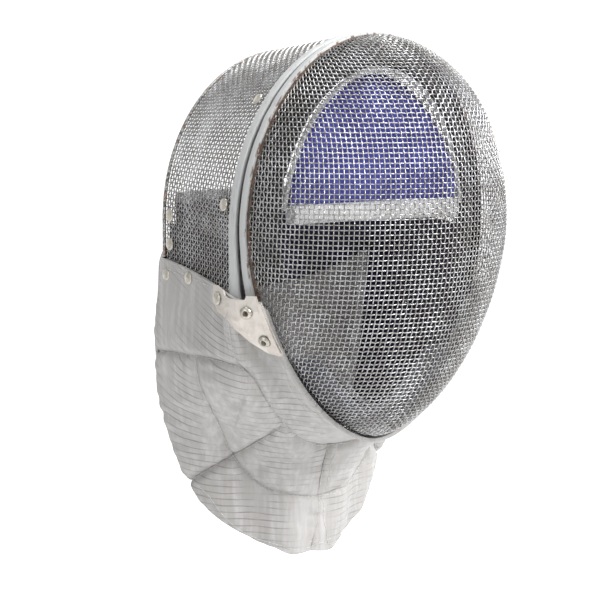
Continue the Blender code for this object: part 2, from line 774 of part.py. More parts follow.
def main():
    mask = bpy.data.objects.new("mask", None)
    bpy.context.scene.collection.objects.link(mask)
    mask.location = (0, -seatBehindBand, -(crownRise - seatBelowMesh))
    materials = {
        "wire": makeMaterial("steel_wire", (0.42, 0.41, 0.40), 0.35, 1),
        "rail": makeMaterial("rail_metal", (0.75, 0.76, 0.77), 0.4, 1),
        "web": makeMaterial("band_web_metal", (0.08, 0.08, 0.08), 0.5, 1),
        "plate": makeMaterial("plate_metal", (0.72, 0.66, 0.60), 0.4, 1),
        "rivet": makeMaterial("rivet_metal", (0.80, 0.77, 0.70), 0.3, 1),
        "screw": makeMaterial("screw_metal", (0.70, 0.67, 0.60), 0.3, 1),
        "lame": makeMaterial("lame_cloth", (0.55, 0.53, 0.51), 0.6, 0.3),
        "navy": makeMaterial("navy_lining", (0.01, 0.01, 0.05), 0.9, 0),
        "blue": makeMaterial("blue_pad", (0.05, 0.06, 0.40), 0.9, 0),
        "black": makeMaterial("black_pad", (0.01, 0.012, 0.012), 0.9, 0),
        "grey": makeMaterial("grey_pad", (0.18, 0.19, 0.25), 0.9, 0),
        "binding": makeMaterial("white_binding", (0.80, 0.80, 0.80), 0.85, 0),
        "piping": makeMaterial("pale_piping", (0.55, 0.56, 0.58), 0.8, 0),
    }
    addDome(materials["wire"], mask)
    addBackMesh(materials["wire"], mask)
    addBand(materials["rail"], materials["web"], mask)
    addRearEdge(materials["rail"], mask)
    whole = wholeBib(bibGrid())
    addSheet("bib", whole, bibWall, materials["lame"], mask)
    addLinings(whole, materials, mask)
    addRearFlaps(whole, materials, mask)
    addPadding(materials, mask)
    addStrap(materials, mask)
    addPlates(whole, materials, mask)
    addRivets(materials, mask)


main()
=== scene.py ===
import math

import bpy
import numpy as np
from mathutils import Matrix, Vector
from mathutils.bvhtree import BVHTree


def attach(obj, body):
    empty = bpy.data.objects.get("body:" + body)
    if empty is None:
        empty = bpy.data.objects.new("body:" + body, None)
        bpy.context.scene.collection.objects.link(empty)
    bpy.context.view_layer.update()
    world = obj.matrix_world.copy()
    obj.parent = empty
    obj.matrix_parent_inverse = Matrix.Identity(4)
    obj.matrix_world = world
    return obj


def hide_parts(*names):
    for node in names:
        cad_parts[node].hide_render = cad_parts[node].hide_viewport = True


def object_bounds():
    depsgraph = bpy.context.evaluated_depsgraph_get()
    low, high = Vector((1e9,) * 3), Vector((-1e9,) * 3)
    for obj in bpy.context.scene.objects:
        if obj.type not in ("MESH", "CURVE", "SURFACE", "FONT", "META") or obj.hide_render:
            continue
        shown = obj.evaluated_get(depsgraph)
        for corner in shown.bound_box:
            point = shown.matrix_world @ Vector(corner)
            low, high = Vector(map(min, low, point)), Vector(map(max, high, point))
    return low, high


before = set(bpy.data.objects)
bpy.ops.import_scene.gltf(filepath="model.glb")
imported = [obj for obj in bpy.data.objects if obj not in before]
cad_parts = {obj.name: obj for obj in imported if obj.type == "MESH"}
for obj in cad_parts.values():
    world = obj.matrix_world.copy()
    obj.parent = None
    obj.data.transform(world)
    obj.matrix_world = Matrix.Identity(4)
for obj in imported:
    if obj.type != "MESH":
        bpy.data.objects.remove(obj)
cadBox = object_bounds()
print("frame loaded:", len(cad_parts), "nodes")

# Everything is worked out from ear level at the middle of the band, then moved by this to the head seat.
seat = np.array([0.0, -0.035, -0.117])
band = {"halfWidth": 0.095, "rise": 0.125, "drop": 0.1385, "width": 0.017, "flare": 0.002, "lean": 0.008,
        "roundness": 1.70, "cornerDrop": 0.048, "railEndDrop": 0.039}
dome = {"depth": 0.084, "apexHeight": 0.020, "leanSpread": 0.7, "gap": 0.0003, "shell": 0.001}
rear = {"halfWidth": 0.0985, "rise": 0.114, "depth": 0.087, "crownDepth": 0.091, "dropFront": 0.049,
        "dropRear": 0.040}
wire = {"facePitch": 0.00322, "backPitch": 0.0029, "radius": 0.00046, "backRadius": 0.00050, "sides": 4}


# Camera of the photograph: 1.7 m away, 35 degrees to the wearer's right and 4.5 degrees up.
look = {"azimuth": math.radians(-35), "elevation": math.radians(4.5), "distance": 1.7, "pxPerMm": 1.515,
        "earLevelPx": (361.4, 225.0), "imagePx": 600}


def cameraAxes():
    az, el = look["azimuth"], look["elevation"]
    back = np.array([math.sin(az) * math.cos(el), -math.cos(az) * math.cos(el), math.sin(el)])
    right = np.array([math.cos(az), math.sin(az), 0.0])
    return right, np.cross(back, right), back


def photoPx(points):
    # Where points of the mask's frame fall in the photograph.
    right, up, back = cameraAxes()
    scale = look["pxPerMm"] * 1000 * look["distance"] / (look["distance"] - points @ back)
    return np.stack([look["earLevelPx"][0] + scale * (points @ right),
                     look["earLevelPx"][1] - scale * (points @ up)], -1)


def makeCamera():
    back = cameraAxes()[2]
    lens = bpy.data.cameras.new("studioCamera")
    made = bpy.data.objects.new("studioCamera", lens)
    bpy.context.scene.collection.objects.link(made)
    half = look["imagePx"] / 2
    made.location = Vector(seat + back * look["distance"])
    made.rotation_euler = (math.pi / 2 - look["elevation"], 0, look["azimuth"])
    lens.sensor_width = 36
    lens.lens = 36 * look["distance"] * 1000 * look["pxPerMm"] / look["imagePx"]
    lens.shift_x = (half - look["earLevelPx"][0]) / look["imagePx"]
    lens.shift_y = (look["earLevelPx"][1] - half) / look["imagePx"]
    lens.clip_end = 60
    bpy.context.scene.camera = made


makeCamera()
print("camera set")


class Line:
    # One output of a material's nodes. Arithmetic on it adds the Math nodes it stands for.
    def __init__(self, finish, socket):
        self.finish, self.socket = finish, socket

    def paired(self, operation, first, second):
        return self.finish.node("ShaderNodeMath", {"operation": operation}, {0: first, 1: second})

    def __add__(self, other):
        return self.paired("ADD", self, other)

    def __sub__(self, other):
        return self.paired("SUBTRACT", self, other)

    def __rsub__(self, other):
        return self.paired("SUBTRACT", other, self)

    def __mul__(self, other):
        return self.paired("MULTIPLY", self, other)

    __radd__ = __add__
    __rmul__ = __mul__

    def sine(self):
        return self.finish.node("ShaderNodeMath", {"operation": "SINE"}, {0: self})

    def step(self, low, high):
        # 0 under low, 1 over high, smooth between them.
        return self.finish.node("ShaderNodeMapRange", {"interpolation_type": "SMOOTHSTEP"},
                                {"Value": self, "From Min": low, "From Max": high})


class Finish:
    # A material of one Principled shader. Numbers that stay the same go on its own sockets.
    def __init__(self, name, slot, colour, roughness, metallic=0.0, **fixed):
        self.slot = slot
        self.material = bpy.data.materials.new(name)
        self.material.use_nodes = True
        self.tree = self.material.node_tree
        self.shader = self.tree.nodes["Principled BSDF"]
        self.shader.inputs["Base Color"].default_value = (*colour, 1)
        self.shader.inputs["Roughness"].default_value = roughness
        self.shader.inputs["Metallic"].default_value = metallic
        for key, value in fixed.items():
            self.shader.inputs[key.replace("_", " ")].default_value = value
        self.material.diffuse_color = (*colour, 1)

    def node(self, kind, settings=None, sockets=None, output=0):
        made = self.tree.nodes.new(kind)
        for key, value in (settings or {}).items():
            setattr(made, key, value)
        for key, value in (sockets or {}).items():
            if isinstance(value, Line):
                self.tree.links.new(value.socket, made.inputs[key])
            else:
                made.inputs[key].default_value = value
        return Line(self, made.outputs[output])

    def place(self):
        # Position on the mask in metres, which stays with each piece.
        return self.node("ShaderNodeTexCoord", output="Object")

    def flat(self, name="flat"):
        split = self.node("ShaderNodeUVMap", {"uv_map": name})
        parts = self.node("ShaderNodeSeparateXYZ", sockets={0: split})
        return parts, Line(self, parts.socket.node.outputs[1])

    def scaled(self, vector, by):
        return self.node("ShaderNodeVectorMath", {"operation": "MULTIPLY"}, {0: vector, 1: by})

    def noise(self, scale, detail=3.0, rough=0.5, vector=None, stretch=None):
        vector = vector or self.place()
        if stretch:
            vector = self.scaled(vector, stretch)
        return self.node("ShaderNodeTexNoise", {"noise_dimensions": "3D"},
                         {"Vector": vector, "Scale": scale, "Detail": detail, "Roughness": rough})

    def blend(self, first, second, share, kind="MIX"):
        return self.node("ShaderNodeMix", {"data_type": "RGBA", "blend_type": kind},
                         {0: share, 6: self.tinted(first), 7: self.tinted(second)}, output=2)

    def tinted(self, colour):
        return colour if isinstance(colour, Line) else (*colour, 1)

    def feed(self, socket, line):
        self.tree.links.new(line.socket, self.shader.inputs[socket])
        return self

    def bump(self, height, distance, strength=1.0):
        normal = self.node("ShaderNodeBump", sockets={"Height": height, "Distance": distance,
                                                      "Strength": strength})
        return self.feed("Normal", normal)


def rim(angle, share):
    # Outline of the band: angle from the crown round both sides, share from its front to its rear edge.
    angle, share = np.broadcast_arrays(np.asarray(angle, float), np.asarray(share, float))
    side, height = np.sin(angle), np.cos(angle)
    z = np.where(height >= 0, height * band["rise"],
                 -np.abs(height) ** (2 / band["roundness"]) * band["drop"])
    width = band["halfWidth"] + band["flare"] * (2 * share - 1)
    x = np.where(height >= 0, np.abs(side) * width, lowWidth(z, share)) * np.sign(side)
    y = band["width"] * (share - 0.5) - band["lean"] * np.maximum(height, 0) ** 1.5
    return np.stack([x, y, z], -1)


def lowWidth(z, share):
    # Half width of the band below ear level.
    width = band["halfWidth"] + band["flare"] * (2 * share - 1)
    closing = np.maximum(0, 1 - np.clip(-z / band["drop"], 0, 1) ** band["roundness"])
    closing = closing ** (1 / band["roundness"])
    straight = share * np.clip((1.6 + z / band["cornerDrop"]) / 0.5, 0, 1)
    return width * (closing + (1 - closing) * straight)


def rimInward(angle, share=0.5):
    ahead = rim(np.asarray(angle) + 0.01, share) - rim(np.asarray(angle) - 0.01, share)
    inward = np.cross([0.0, 1.0, 0.0], ahead)
    return inward / np.linalg.norm(inward, axis=-1, keepdims=True)


def angleAt(height):
    return math.pi - math.acos((-height / band["drop"]) ** (band["roundness"] / 2))


def unit(vectors):
    return vectors / np.maximum(np.linalg.norm(vectors, axis=-1, keepdims=True), 1e-12)


def gridFaces(rows, columns, closed=False):
    count = columns if closed else columns - 1
    row, column = np.mgrid[:rows - 1, :count]
    after = (column + 1) % columns
    here = row * columns
    quads = np.stack([here + column, here + after, here + columns + after, here + columns + column], -1)
    return quads.reshape(-1, 4)


def gridNormals(grid):
    normals = unit(np.cross(np.gradient(grid, axis=0), np.gradient(grid, axis=1)))
    centre = np.array([0, (rear["depth"] - dome["depth"]) / 2, -band["drop"] / 4])
    return normals * np.sign(np.sum(normals * (grid - centre)))


def gridFlat(grid):
    # Each point's place on the cut cloth, in metres from its upper middle.
    across = np.cumsum(np.linalg.norm(np.diff(grid, axis=1, prepend=grid[:, :1]), axis=2), axis=1)
    across -= across[:, across.shape[1] // 2][:, None]
    return np.stack([across, gridDown(grid)], -1)


def gridDown(grid):
    # Length down the cloth from its upper edge.
    return np.cumsum(np.linalg.norm(np.diff(grid, axis=0, prepend=grid[:1]), axis=2), axis=0)


def gridSize(grid):
    # Flat width, length and area of a sheet.
    wide = np.linalg.norm(np.diff(grid, axis=1), axis=2).sum(axis=1).max()
    long = np.linalg.norm(np.diff(grid, axis=0), axis=2).sum(axis=0).max()
    first = np.linalg.norm(np.cross(grid[1:, 1:] - grid[:-1, :-1], grid[1:, :-1] - grid[:-1, 1:]), axis=2)
    return wide, long, first.sum() / 2


def lengthAlong(path):
    # Distance from a path's start to each of its points.
    return np.concatenate([[0], np.cumsum(np.linalg.norm(np.diff(path, axis=0), axis=1))])


def smoothThrough(points, places, wanted):
    # Points at the wanted places of a smooth curve through the given ones.
    points, places = np.asarray(points, float), np.asarray(places, float)
    slopes = np.gradient(points, places, axis=0)
    left = np.clip(np.searchsorted(places, wanted) - 1, 0, len(places) - 2)
    width = (places[left + 1] - places[left])[:, None]
    part = (wanted - places[left])[:, None] / width
    before, after = points[left], points[left + 1]
    leaving, arriving = width * slopes[left], width * slopes[left + 1]
    return ((2 * part**3 - 3 * part**2 + 1) * before + (part**3 - 2 * part**2 + part) * leaving
            + (3 * part**2 - 2 * part**3) * after + (part**3 - part**2) * arriving)


def addPiece(name, points, faces, finish, flats=None, replaces=(), smooth=True, offset=seat):
    points = np.asarray(points, float).reshape(-1, 3) + offset
    mesh = bpy.data.meshes.new(name)
    mesh.from_pydata(points.tolist(), [], faces.tolist() if isinstance(faces, np.ndarray) else faces)
    for key, values in (flats or {}).items():
        layer = mesh.uv_layers.new(name=key)
        corner = np.empty(len(mesh.loops), np.int32)
        mesh.loops.foreach_get("vertex_index", corner)
        layer.data.foreach_set("uv", np.asarray(values, float).reshape(-1, 2)[corner].ravel())
    if smooth:
        mesh.shade_smooth()
    mesh.materials.append(finish.material)
    mesh.update()
    made = bpy.data.objects.new(name, mesh)
    bpy.context.scene.collection.objects.link(made)
    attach(made, "root")
    if replaces:
        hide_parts(*replaces)
    return made


def addCloth(name, grid, wall, finish, replaces=(), flats=None):
    # Cloth of even thickness, with the grid through its middle.
    flats = flats or {"flat": gridFlat(grid)}
    made = addPiece(name, grid, gridFaces(*grid.shape[:2]), finish, flats, replaces)
    solid = made.modifiers.new("wall", "SOLIDIFY")
    solid.thickness, solid.offset = wall, 0
    return made


def addSweep(name, paths, finish, flats=None, replaces=()):
    # A closed profile swept along a curve, with one path for each point of the profile.
    grid = np.array(paths).transpose(1, 0, 2)
    return addPiece(name, grid, sweepFaces(*grid.shape[:2]), finish, flats, replaces)


def cutFlat(grid):
    wide, long, area = gridSize(grid)


def tubes(paths, normals, radius, sides, capped=False):
    # Round wires along many paths, as one list of points and faces.
    points, faces, start = [], [], 0
    turns = np.linspace(0, 2 * math.pi, sides, endpoint=False) + math.pi / sides
    for path, normal in zip(paths, normals):
        ahead = unit(np.gradient(path, axis=0))
        beside = unit(np.cross(ahead, normal))
        above = np.cross(beside, ahead)
        ring = path[:, None] + radius * (np.cos(turns)[:, None] * above[:, None]
                                         + np.sin(turns)[:, None] * beside[:, None])
        points.append(ring.reshape(-1, 3))
        faces.extend((gridFaces(len(path), sides, True) + start).tolist())
        if capped:
            faces.append(list(range(start, start + sides)))
            faces.append(list(range(start + (len(path) - 1) * sides, start + len(path) * sides)))
        start += len(path) * sides
    return np.concatenate(points), faces


def sweepFaces(rows, columns):
    faces = gridFaces(rows, columns, True).tolist()
    return faces + [list(range(columns)), list(range((rows - 1) * columns, rows * columns))]


def steelWire():
    made = Finish("steelWire", "wire", (0.50, 0.49, 0.48), 0.26, 0.95)
    worn = made.noise(60, 3).step(0.42, 0.62)
    grime_and_shade = made.noise(420, 3, 0.6).step(0.50, 0.66)
    base = made.blend((0.46, 0.45, 0.44), (0.64, 0.64, 0.64), worn)
    made.feed("Base Color", made.blend(base, (0.20, 0.19, 0.18), grime_and_shade * 0.55))
    made.feed("Roughness", 0.20 + made.noise(900, 2) * 0.16)
    return made.bump(made.noise(2500, 2), 0.00004)


def railPaint():
    made = Finish("railPaint", "rail", (0.66, 0.67, 0.67), 0.42, 0.10, Coat_Weight=0.12, Coat_Roughness=0.3)
    across = made.flat()[0]
    edge = 1 - across.step(0.0004, 0.0012)
    chips = made.noise(260, 4, 0.7, stretch=(1, 1, 0.35)).step(0.50, 0.60) * edge
    low = made.node("ShaderNodeSeparateXYZ", sockets={0: made.place()}, output=2).step(-0.09, -0.13)
    spots = made.noise(150, 2).step(0.70, 0.73) * low
    scuffs = made.noise(26, 5, 0.65, stretch=(1, 1, 0.25)).step(0.50, 0.70)
    scratch = made.noise(500, 2, 0.5, stretch=(1, 1, 0.08)).step(0.60, 0.70)
    base = made.blend((0.60, 0.61, 0.61), (0.46, 0.475, 0.495), scuffs)
    base = made.blend(base, (0.36, 0.36, 0.36), scratch * 0.5 + (1 - across.step(0.0, 0.0007)) * 0.4)
    base = made.blend(base, (0.17, 0.10, 0.065), chips * 0.9)
    made.feed("Base Color", made.blend(base, (0.46, 0.21, 0.10), spots))
    made.feed("Roughness", 0.34 + 0.2 * made.noise(150, 3) + 0.3 * chips)
    return made.bump(made.noise(300, 3) * 0.6 - chips * 0.6 - spots * 0.5, 0.00012)


def flangeMetal():
    made = Finish("flangeMetal", "rail", (0.16, 0.11, 0.08), 0.6, 0.3)
    rust = made.noise(330, 4, 0.65).step(0.46, 0.60)
    bright = made.noise(700, 2).step(0.62, 0.70)
    base = made.blend((0.085, 0.07, 0.06), (0.22, 0.125, 0.08), rust)
    made.feed("Base Color", made.blend(base, (0.60, 0.58, 0.55), bright))
    made.feed("Roughness", 0.45 + rust * 0.3)
    return made.bump(rust * 0.6 + made.noise(1200, 2) * 0.3, 0.00012)


def edgeTrim():
    made = Finish("edgeTrim", "rail", (0.40, 0.38, 0.36), 0.42, 0.7)
    patches = made.noise(700, 2).step(0.46, 0.56)
    rust = made.noise(150, 3).step(0.56, 0.64)
    base = made.blend((0.62, 0.62, 0.61), (0.13, 0.12, 0.11), patches)
    made.feed("Base Color", made.blend(base, (0.30, 0.17, 0.10), rust * 0.7))
    return made.bump(made.noise(900, 2), 0.0001)


def groovePaint():
    made = Finish("groovePaint", "web", (0.05, 0.05, 0.05), 0.6, 0.4)
    dust = made.noise(200, 4).step(0.4, 0.7)
    made.feed("Base Color", made.blend((0.03, 0.03, 0.035), (0.13, 0.12, 0.12), dust))
    return made.bump(made.noise(500, 3), 0.0001)


def nickelPlate():
    made = Finish("nickelPlate", "plate", (0.66, 0.61, 0.56), 0.40, 0.55)
    cloud = made.noise(45, 4, 0.6)
    scratch = made.noise(220, 3, 0.6, stretch=(1, 0.12, 1)).step(0.62, 0.70)
    base = made.blend((0.80, 0.75, 0.70), (0.62, 0.565, 0.515), cloud.step(0.42, 0.66))
    made.feed("Base Color", made.blend(base, (0.80, 0.77, 0.73), scratch * 0.6))
    made.feed("Roughness", 0.40 + cloud * 0.18)
    return made.bump(cloud * 0.5 + made.noise(1200, 2) * 0.08, 0.00006)


def nickelHead(name, slot, colour):
    made = Finish(name, slot, colour, 0.30, 0.75)
    dull = made.noise(350, 3).step(0.45, 0.70)
    reach = made.flat()[0]
    base = made.blend(colour, tuple(part * 0.72 for part in colour), dull)
    # Painted shade darkens the screw's recess and a ring round the foot of each head.
    grime_and_shade = reach.step(0.90, 1.02) * 0.7
    # The screw's recess also gets painted shade.
    if slot == "screw":
        grime_and_shade = grime_and_shade + (1 - reach.step(0.40, 0.50)) * 0.75
    made.feed("Base Color", made.blend(base, (0.035, 0.03, 0.025), grime_and_shade))
    made.feed("Roughness", 0.22 + made.noise(500, 2) * 0.24)
    return made.bump(made.noise(700, 2), 0.00008)


def lameCloth():
    made = Finish("lameCloth", "lame", (0.50, 0.48, 0.46), 0.62, 0.12, Sheen_Weight=0.25, Sheen_Roughness=0.5)
    across, down = made.flat()
    lay = made.flat("lay")[0]
    drift = made.noise(9, 2) * 0.0016
    wave = ((lay + drift) * (2 * math.pi / 0.0044)).sine()
    strength = made.noise(30, 3, 0.6, stretch=(1, 1, 0.5)).step(0.38, 0.64)
    stripe = wave.step(0.78, 0.99) * strength
    warp = (across * (2 * math.pi / 0.00085)).sine()
    weft = (down * (2 * math.pi / 0.00085)).sine()
    weave = warp * weft
    streak = made.noise(60, 4, 0.65, stretch=(3, 3, 0.3)).step(0.35, 0.75)
    base = made.blend((0.46, 0.445, 0.432), (0.60, 0.588, 0.58), streak)
    base = made.blend(base, (0.34, 0.325, 0.325), weave.step(0.1, 1.0) * 0.22)
    made.feed("Base Color", made.blend(base, (0.25, 0.235, 0.235), stripe * 0.7))
    made.feed("Roughness", 0.56 + made.noise(80, 3) * 0.16)
    height = weave * 0.10 - stripe * 0.55 + made.noise(70, 3, 0.5, stretch=(0.4, 0.4, 1.6)) * 1.2
    return made.bump(height, 0.00035)


def plainCloth(name, slot, light, dark, thread=0.0011, roughness=0.9):
    made = Finish(name, slot, light, roughness, 0.0, Sheen_Weight=0.15, Sheen_Roughness=0.6)
    place = made.node("ShaderNodeSeparateXYZ", sockets={0: made.place()})
    second = Line(made, place.socket.node.outputs[1])
    third = Line(made, place.socket.node.outputs[2])
    turn = 2 * math.pi / thread
    weave = ((place + second) * turn).sine() * (third * turn).sine()
    worn = made.noise(40, 4, 0.6).step(0.35, 0.70)
    base = made.blend(dark, light, worn)
    made.feed("Base Color", made.blend(base, dark, weave.step(0.0, 1.0) * 0.4))
    made.feed("Roughness", roughness - 0.12 * worn)
    return made.bump(weave * 0.25 + made.noise(120, 3), 0.0004)


def ribTape(name, slot, light, dark):
    made = Finish(name, slot, light, 0.85, 0.0)
    across = made.flat()[0]
    rib = (across * (2 * math.pi / 0.0016)).sine()
    soil = made.noise(70, 4, 0.6).step(0.40, 0.75)
    base = made.blend(light, dark, soil * 0.6)
    made.feed("Base Color", made.blend(base, dark, rib.step(0.4, 1.0) * 0.35))
    return made.bump(rib * 0.4 + made.noise(400, 2) * 0.3, 0.0003)


def thread():
    made = Finish("sewingThread", "lame", (0.66, 0.65, 0.63), 0.7, 0.0, Sheen_Weight=0.2)
    twist = made.noise(600, 2).step(0.4, 0.6)
    made.feed("Base Color", made.blend((0.56, 0.55, 0.53), (0.74, 0.73, 0.71), twist))
    return made.bump(made.noise(3000, 2), 0.00005)


finish = {
    "wire": steelWire(),
    "rail": railPaint(),
    "flange": flangeMetal(),
    "trim": edgeTrim(),
    "groove": groovePaint(),
    "plate": nickelPlate(),
    "rivet": nickelHead("nickelRivet", "rivet", (0.74, 0.70, 0.62)),
    "screw": nickelHead("nickelScrew", "screw", (0.66, 0.62, 0.54)),
    "lame": lameCloth(),
    "navy": plainCloth("navyLining", "navy", (0.022, 0.022, 0.085), (0.006, 0.006, 0.028)),
    "blue": plainCloth("bluePad", "blue", (0.060, 0.070, 0.42), (0.030, 0.032, 0.25)),
    "black": plainCloth("blackPad", "black", (0.016, 0.017, 0.018), (0.005, 0.005, 0.006), 0.0014),
    "grey": plainCloth("greyPad", "grey", (0.20, 0.21, 0.27), (0.10, 0.11, 0.15)),
    "binding": ribTape("whiteBinding", "binding", (0.80, 0.80, 0.80), (0.52, 0.52, 0.53)),
    "piping": ribTape("palePiping", "piping", (0.60, 0.61, 0.62), (0.36, 0.37, 0.38)),
    "chinPiping": ribTape("greyPiping", "piping", (0.17, 0.18, 0.20), (0.10, 0.10, 0.12)),
    "thread": thread(),
}
print("finishes made:", len(finish))


def domeTable():
    # Outline of the dome's edge by direction from its apex: reach and depth.
    angle = np.linspace(-math.pi, math.pi, 1441)
    edge = rim(angle, 0.0) - [0, dome["gap"], 0]
    turn = np.arctan2(edge[:, 0], edge[:, 2] - dome["apexHeight"])
    order = np.argsort(turn)
    return turn[order], np.hypot(edge[:, 0], edge[:, 2] - dome["apexHeight"])[order], edge[order, 1]


domeTurn, domeReach, domeEdge = domeTable()


def domeDepth(x, z):
    turn = np.arctan2(x, z - dome["apexHeight"])
    reach = np.interp(turn, domeTurn, domeReach)
    edge = np.interp(turn, domeTurn, domeEdge)
    share = np.clip(np.hypot(x, z - dome["apexHeight"]) / reach, 0, 1)
    base = -band["width"] / 2 - dome["gap"]
    return base + (edge - base) * share ** dome["leanSpread"] - dome["depth"] * np.sqrt(1 - share**2)


def domeHalfWidth(z):
    upper = (band["halfWidth"] - band["flare"]) * np.sqrt(np.maximum(0, 1 - (z / band["rise"]) ** 2))
    return np.where(z >= 0, upper, lowWidth(z, 0.0))


def domeNormals(points):
    x, z = points[..., 0], points[..., 2]
    step = 0.0003
    slopeX = (domeDepth(x + step, z) - domeDepth(x - step, z)) / (2 * step)
    slopeZ = (domeDepth(x, z + step) - domeDepth(x, z - step)) / (2 * step)
    return unit(np.stack([slopeX, -np.ones_like(x), slopeZ], -1))


def evenLevels():
    # Heights of the level wires, evenly spaced along the dome's middle, at half steps.
    half = wire["facePitch"] / 2
    levels = []
    for end, sign in ((band["rise"] - 1e-5, 1), (-band["drop"] + 1e-5, -1)):
        height = dome["apexHeight"] + (end - dome["apexHeight"]) * np.sin(np.linspace(0, math.pi / 2, 900))
        path = np.stack([domeDepth(np.zeros(900), height), height], -1)
        length = lengthAlong(path)
        count = int(length[-1] / half)
        levels.append((sign, np.interp(np.arange(1, count + 1) * half, length, height)))
    down = levels[1][1][::-1]
    return np.concatenate([down, [dome["apexHeight"]], levels[0][1]]), len(down)


def domeSection(height):
    # Length along the dome at one height, against x.
    x = domeHalfWidth(height) * np.sin(np.linspace(0, math.pi / 2, 500))
    path = np.stack([x, domeDepth(x, np.full(500, height))], -1)
    length = lengthAlong(path)
    return x, length


def crimped(points, normals, phase, radius):
    # Waves a wire over and under the ones that it crosses. Its points are at half steps, counted by phase.
    lift = np.where(phase % 2 == 0, np.where((phase // 2) % 2 == 0, 1.0, -1.0), 0.0)
    return points + normals * (lift * radius * 1.02)[:, None]


def weaveDome():
    levels, middle = evenLevels()
    sections = [domeSection(float(level)) for level in levels]
    ends = np.array([length[-1] for x, length in sections])
    half = wire["facePitch"] / 2
    widest = int(ends.max() / half)
    level, across = [], []
    for index in range(len(levels)):
        if (index - middle) % 2:
            continue
        count = int((ends[index] - 0.0002) / half)
        if count < 2:
            continue
        steps = np.arange(-count, count + 1)
        x = np.interp(np.abs(steps) * half, sections[index][1], sections[index][0]) * np.sign(steps)
        x = np.concatenate([[-sections[index][0][-1]], x, [sections[index][0][-1]]])
        height = np.full(len(x), levels[index])
        points = np.stack([x, domeDepth(x, height), height], -1)
        normals = domeNormals(points)
        phase = np.concatenate([[1], steps + (index - middle), [1]])
        level.append((crimped(points, normals, phase, wire["radius"]), normals))
    for step in range(-widest, widest + 1):
        if step % 2:
            continue
        inside = np.flatnonzero(ends > abs(step) * half + 0.0002)
        if len(inside) < 3:
            continue
        height = levels[inside]
        x = np.array([np.interp(abs(step) * half, sections[i][1], sections[i][0]) for i in inside])
        x = x * np.sign(step)
        points = np.stack([x, domeDepth(x, height), height], -1)
        phase = (inside - middle) + step + 2
        first = edgePoint(step, inside[0], -1, levels, ends, sections)
        last = edgePoint(step, inside[-1], 1, levels, ends, sections)
        points = np.concatenate([[first], points, [last]])
        phase = np.concatenate([[1], phase, [1]])
        normals = domeNormals(points)
        across.append((crimped(points, normals, phase, wire["radius"]), normals))
    return level, across


def edgePoint(step, index, ahead, levels, ends, sections):
    # Where an upright wire meets the dome's edge past its last level.
    along = abs(step) * wire["facePitch"] / 2
    after = index + ahead
    if 0 <= after < len(levels):
        share = np.clip((ends[index] - along) / max(ends[index] - ends[after], 1e-9), 0, 1)
        height = levels[index] + (levels[after] - levels[index]) * share
    else:
        height = band["rise"] - 2e-5 if ahead > 0 else -band["drop"] + 2e-5
    x = float(np.sign(step)) * float(domeHalfWidth(np.array(height)))
    if not 0 <= after < len(levels):
        x = float(np.sign(step)) * float(np.interp(along, sections[index][1], sections[index][0]))
        x = float(np.clip(x, -domeHalfWidth(np.array(height)), domeHalfWidth(np.array(height))))
    return np.array([x, float(domeDepth(np.array(x), np.array(height))), height])


def rearArc(angle):
    side, height = np.sin(angle), np.cos(angle)
    back = rear["depth"] + (rear["crownDepth"] - rear["depth"]) * np.maximum(height, 0)
    width = np.where(height >= 0, side, np.sign(side))
    return np.stack([width * rear["halfWidth"], back, height * rear["rise"]], -1)


frontSpan = angleAt(-rear["dropFront"])
rearSpan = math.pi / 2 + math.asin(rear["dropRear"] / rear["rise"])


def rearMesh(share, along):
    share, along = np.broadcast_arrays(np.asarray(share, float), np.asarray(along, float))
    front = rim(frontSpan * share, 1.0) + [0, dome["gap"], 0]
    return front + (rearArc(rearSpan * share) - front) * along[..., None]


def rearNormals(share, along):
    step = 0.004
    ahead = rearMesh(share, along + step) - rearMesh(share, along - step)
    around = rearMesh(share + step, along) - rearMesh(share - step, along)
    return unit(np.cross(around, ahead)) * -1.0


def weaveRear():
    half = wire["backPitch"] / 2
    share = np.linspace(-1, 1, 2001)
    path = rearMesh(share, 0.5)
    length = lengthAlong(path)
    count = int(length[-1] / 2 / half)
    steps = np.arange(-count, count + 1)
    shares = np.interp(length[-1] / 2 + steps * half, length, share)
    deep = int(rear["depth"] * 0.905 / half)
    alongs = np.concatenate([[-0.012], (np.arange(deep) + 0.6) / deep * 0.985])
    sign = np.sign(np.sum(rearNormals(shares[:1], 0.5) * rearMesh(shares[:1], 0.5) * [1, 0, 1]))
    deepWires, roundWires = [], []
    for place, step in zip(shares, steps):
        if step % 2:
            continue
        points = rearMesh(place, alongs)
        normals = rearNormals(np.full(len(alongs), place), alongs) * sign
        phase = np.concatenate([[1], np.arange(deep) + step])
        deepWires.append((crimped(points, normals, phase, wire["backRadius"]), normals))
    for index in range(0, deep, 2):
        along = alongs[index + 1]
        points = rearMesh(shares, along)
        normals = rearNormals(shares, np.full(len(shares), along)) * sign
        roundWires.append((crimped(points, normals, steps + index + 2, wire["backRadius"]), normals))
    return deepWires, roundWires


def addWires(name, wires, radius, replaces):
    points, faces = tubes([path for path, normal in wires], [normal for path, normal in wires], radius,
                          wire["sides"])
    made = addPiece(name, points, faces, finish["wire"], replaces=replaces)
    print("  ", name, len(wires), "wires", len(faces) * 2, "triangles")
    return made


domeLevel, domeUpright = weaveDome()
addWires("face_wires_level", domeLevel, wire["radius"], ("front_mesh",))
addWires("face_wires_upright", domeUpright, wire["radius"], ("front_mesh",))
rearDeep, rearRound = weaveRear()
addWires("back_wires_deep", rearDeep, wire["backRadius"], ("back_mesh",))
addWires("back_wires_round", rearRound, wire["backRadius"], ("back_mesh",))
print("woven wire made")


rails = {"height": 0.0030, "foot": -0.0010, "edgeRadius": 0.0011, "steps": 300, "groove": 0.25,
         "crownGroove": 0.10, "flange": 0.10, "centre": 0.52, "width": 0.0068, "rear": 0.97, "dents": 60,
         "dentDepth": 0.00010, "underPlate": 0.0055}
# The rails run on under the plates' notches.
railEnd = angleAt(-band["railEndDrop"] - rails["underPlate"])


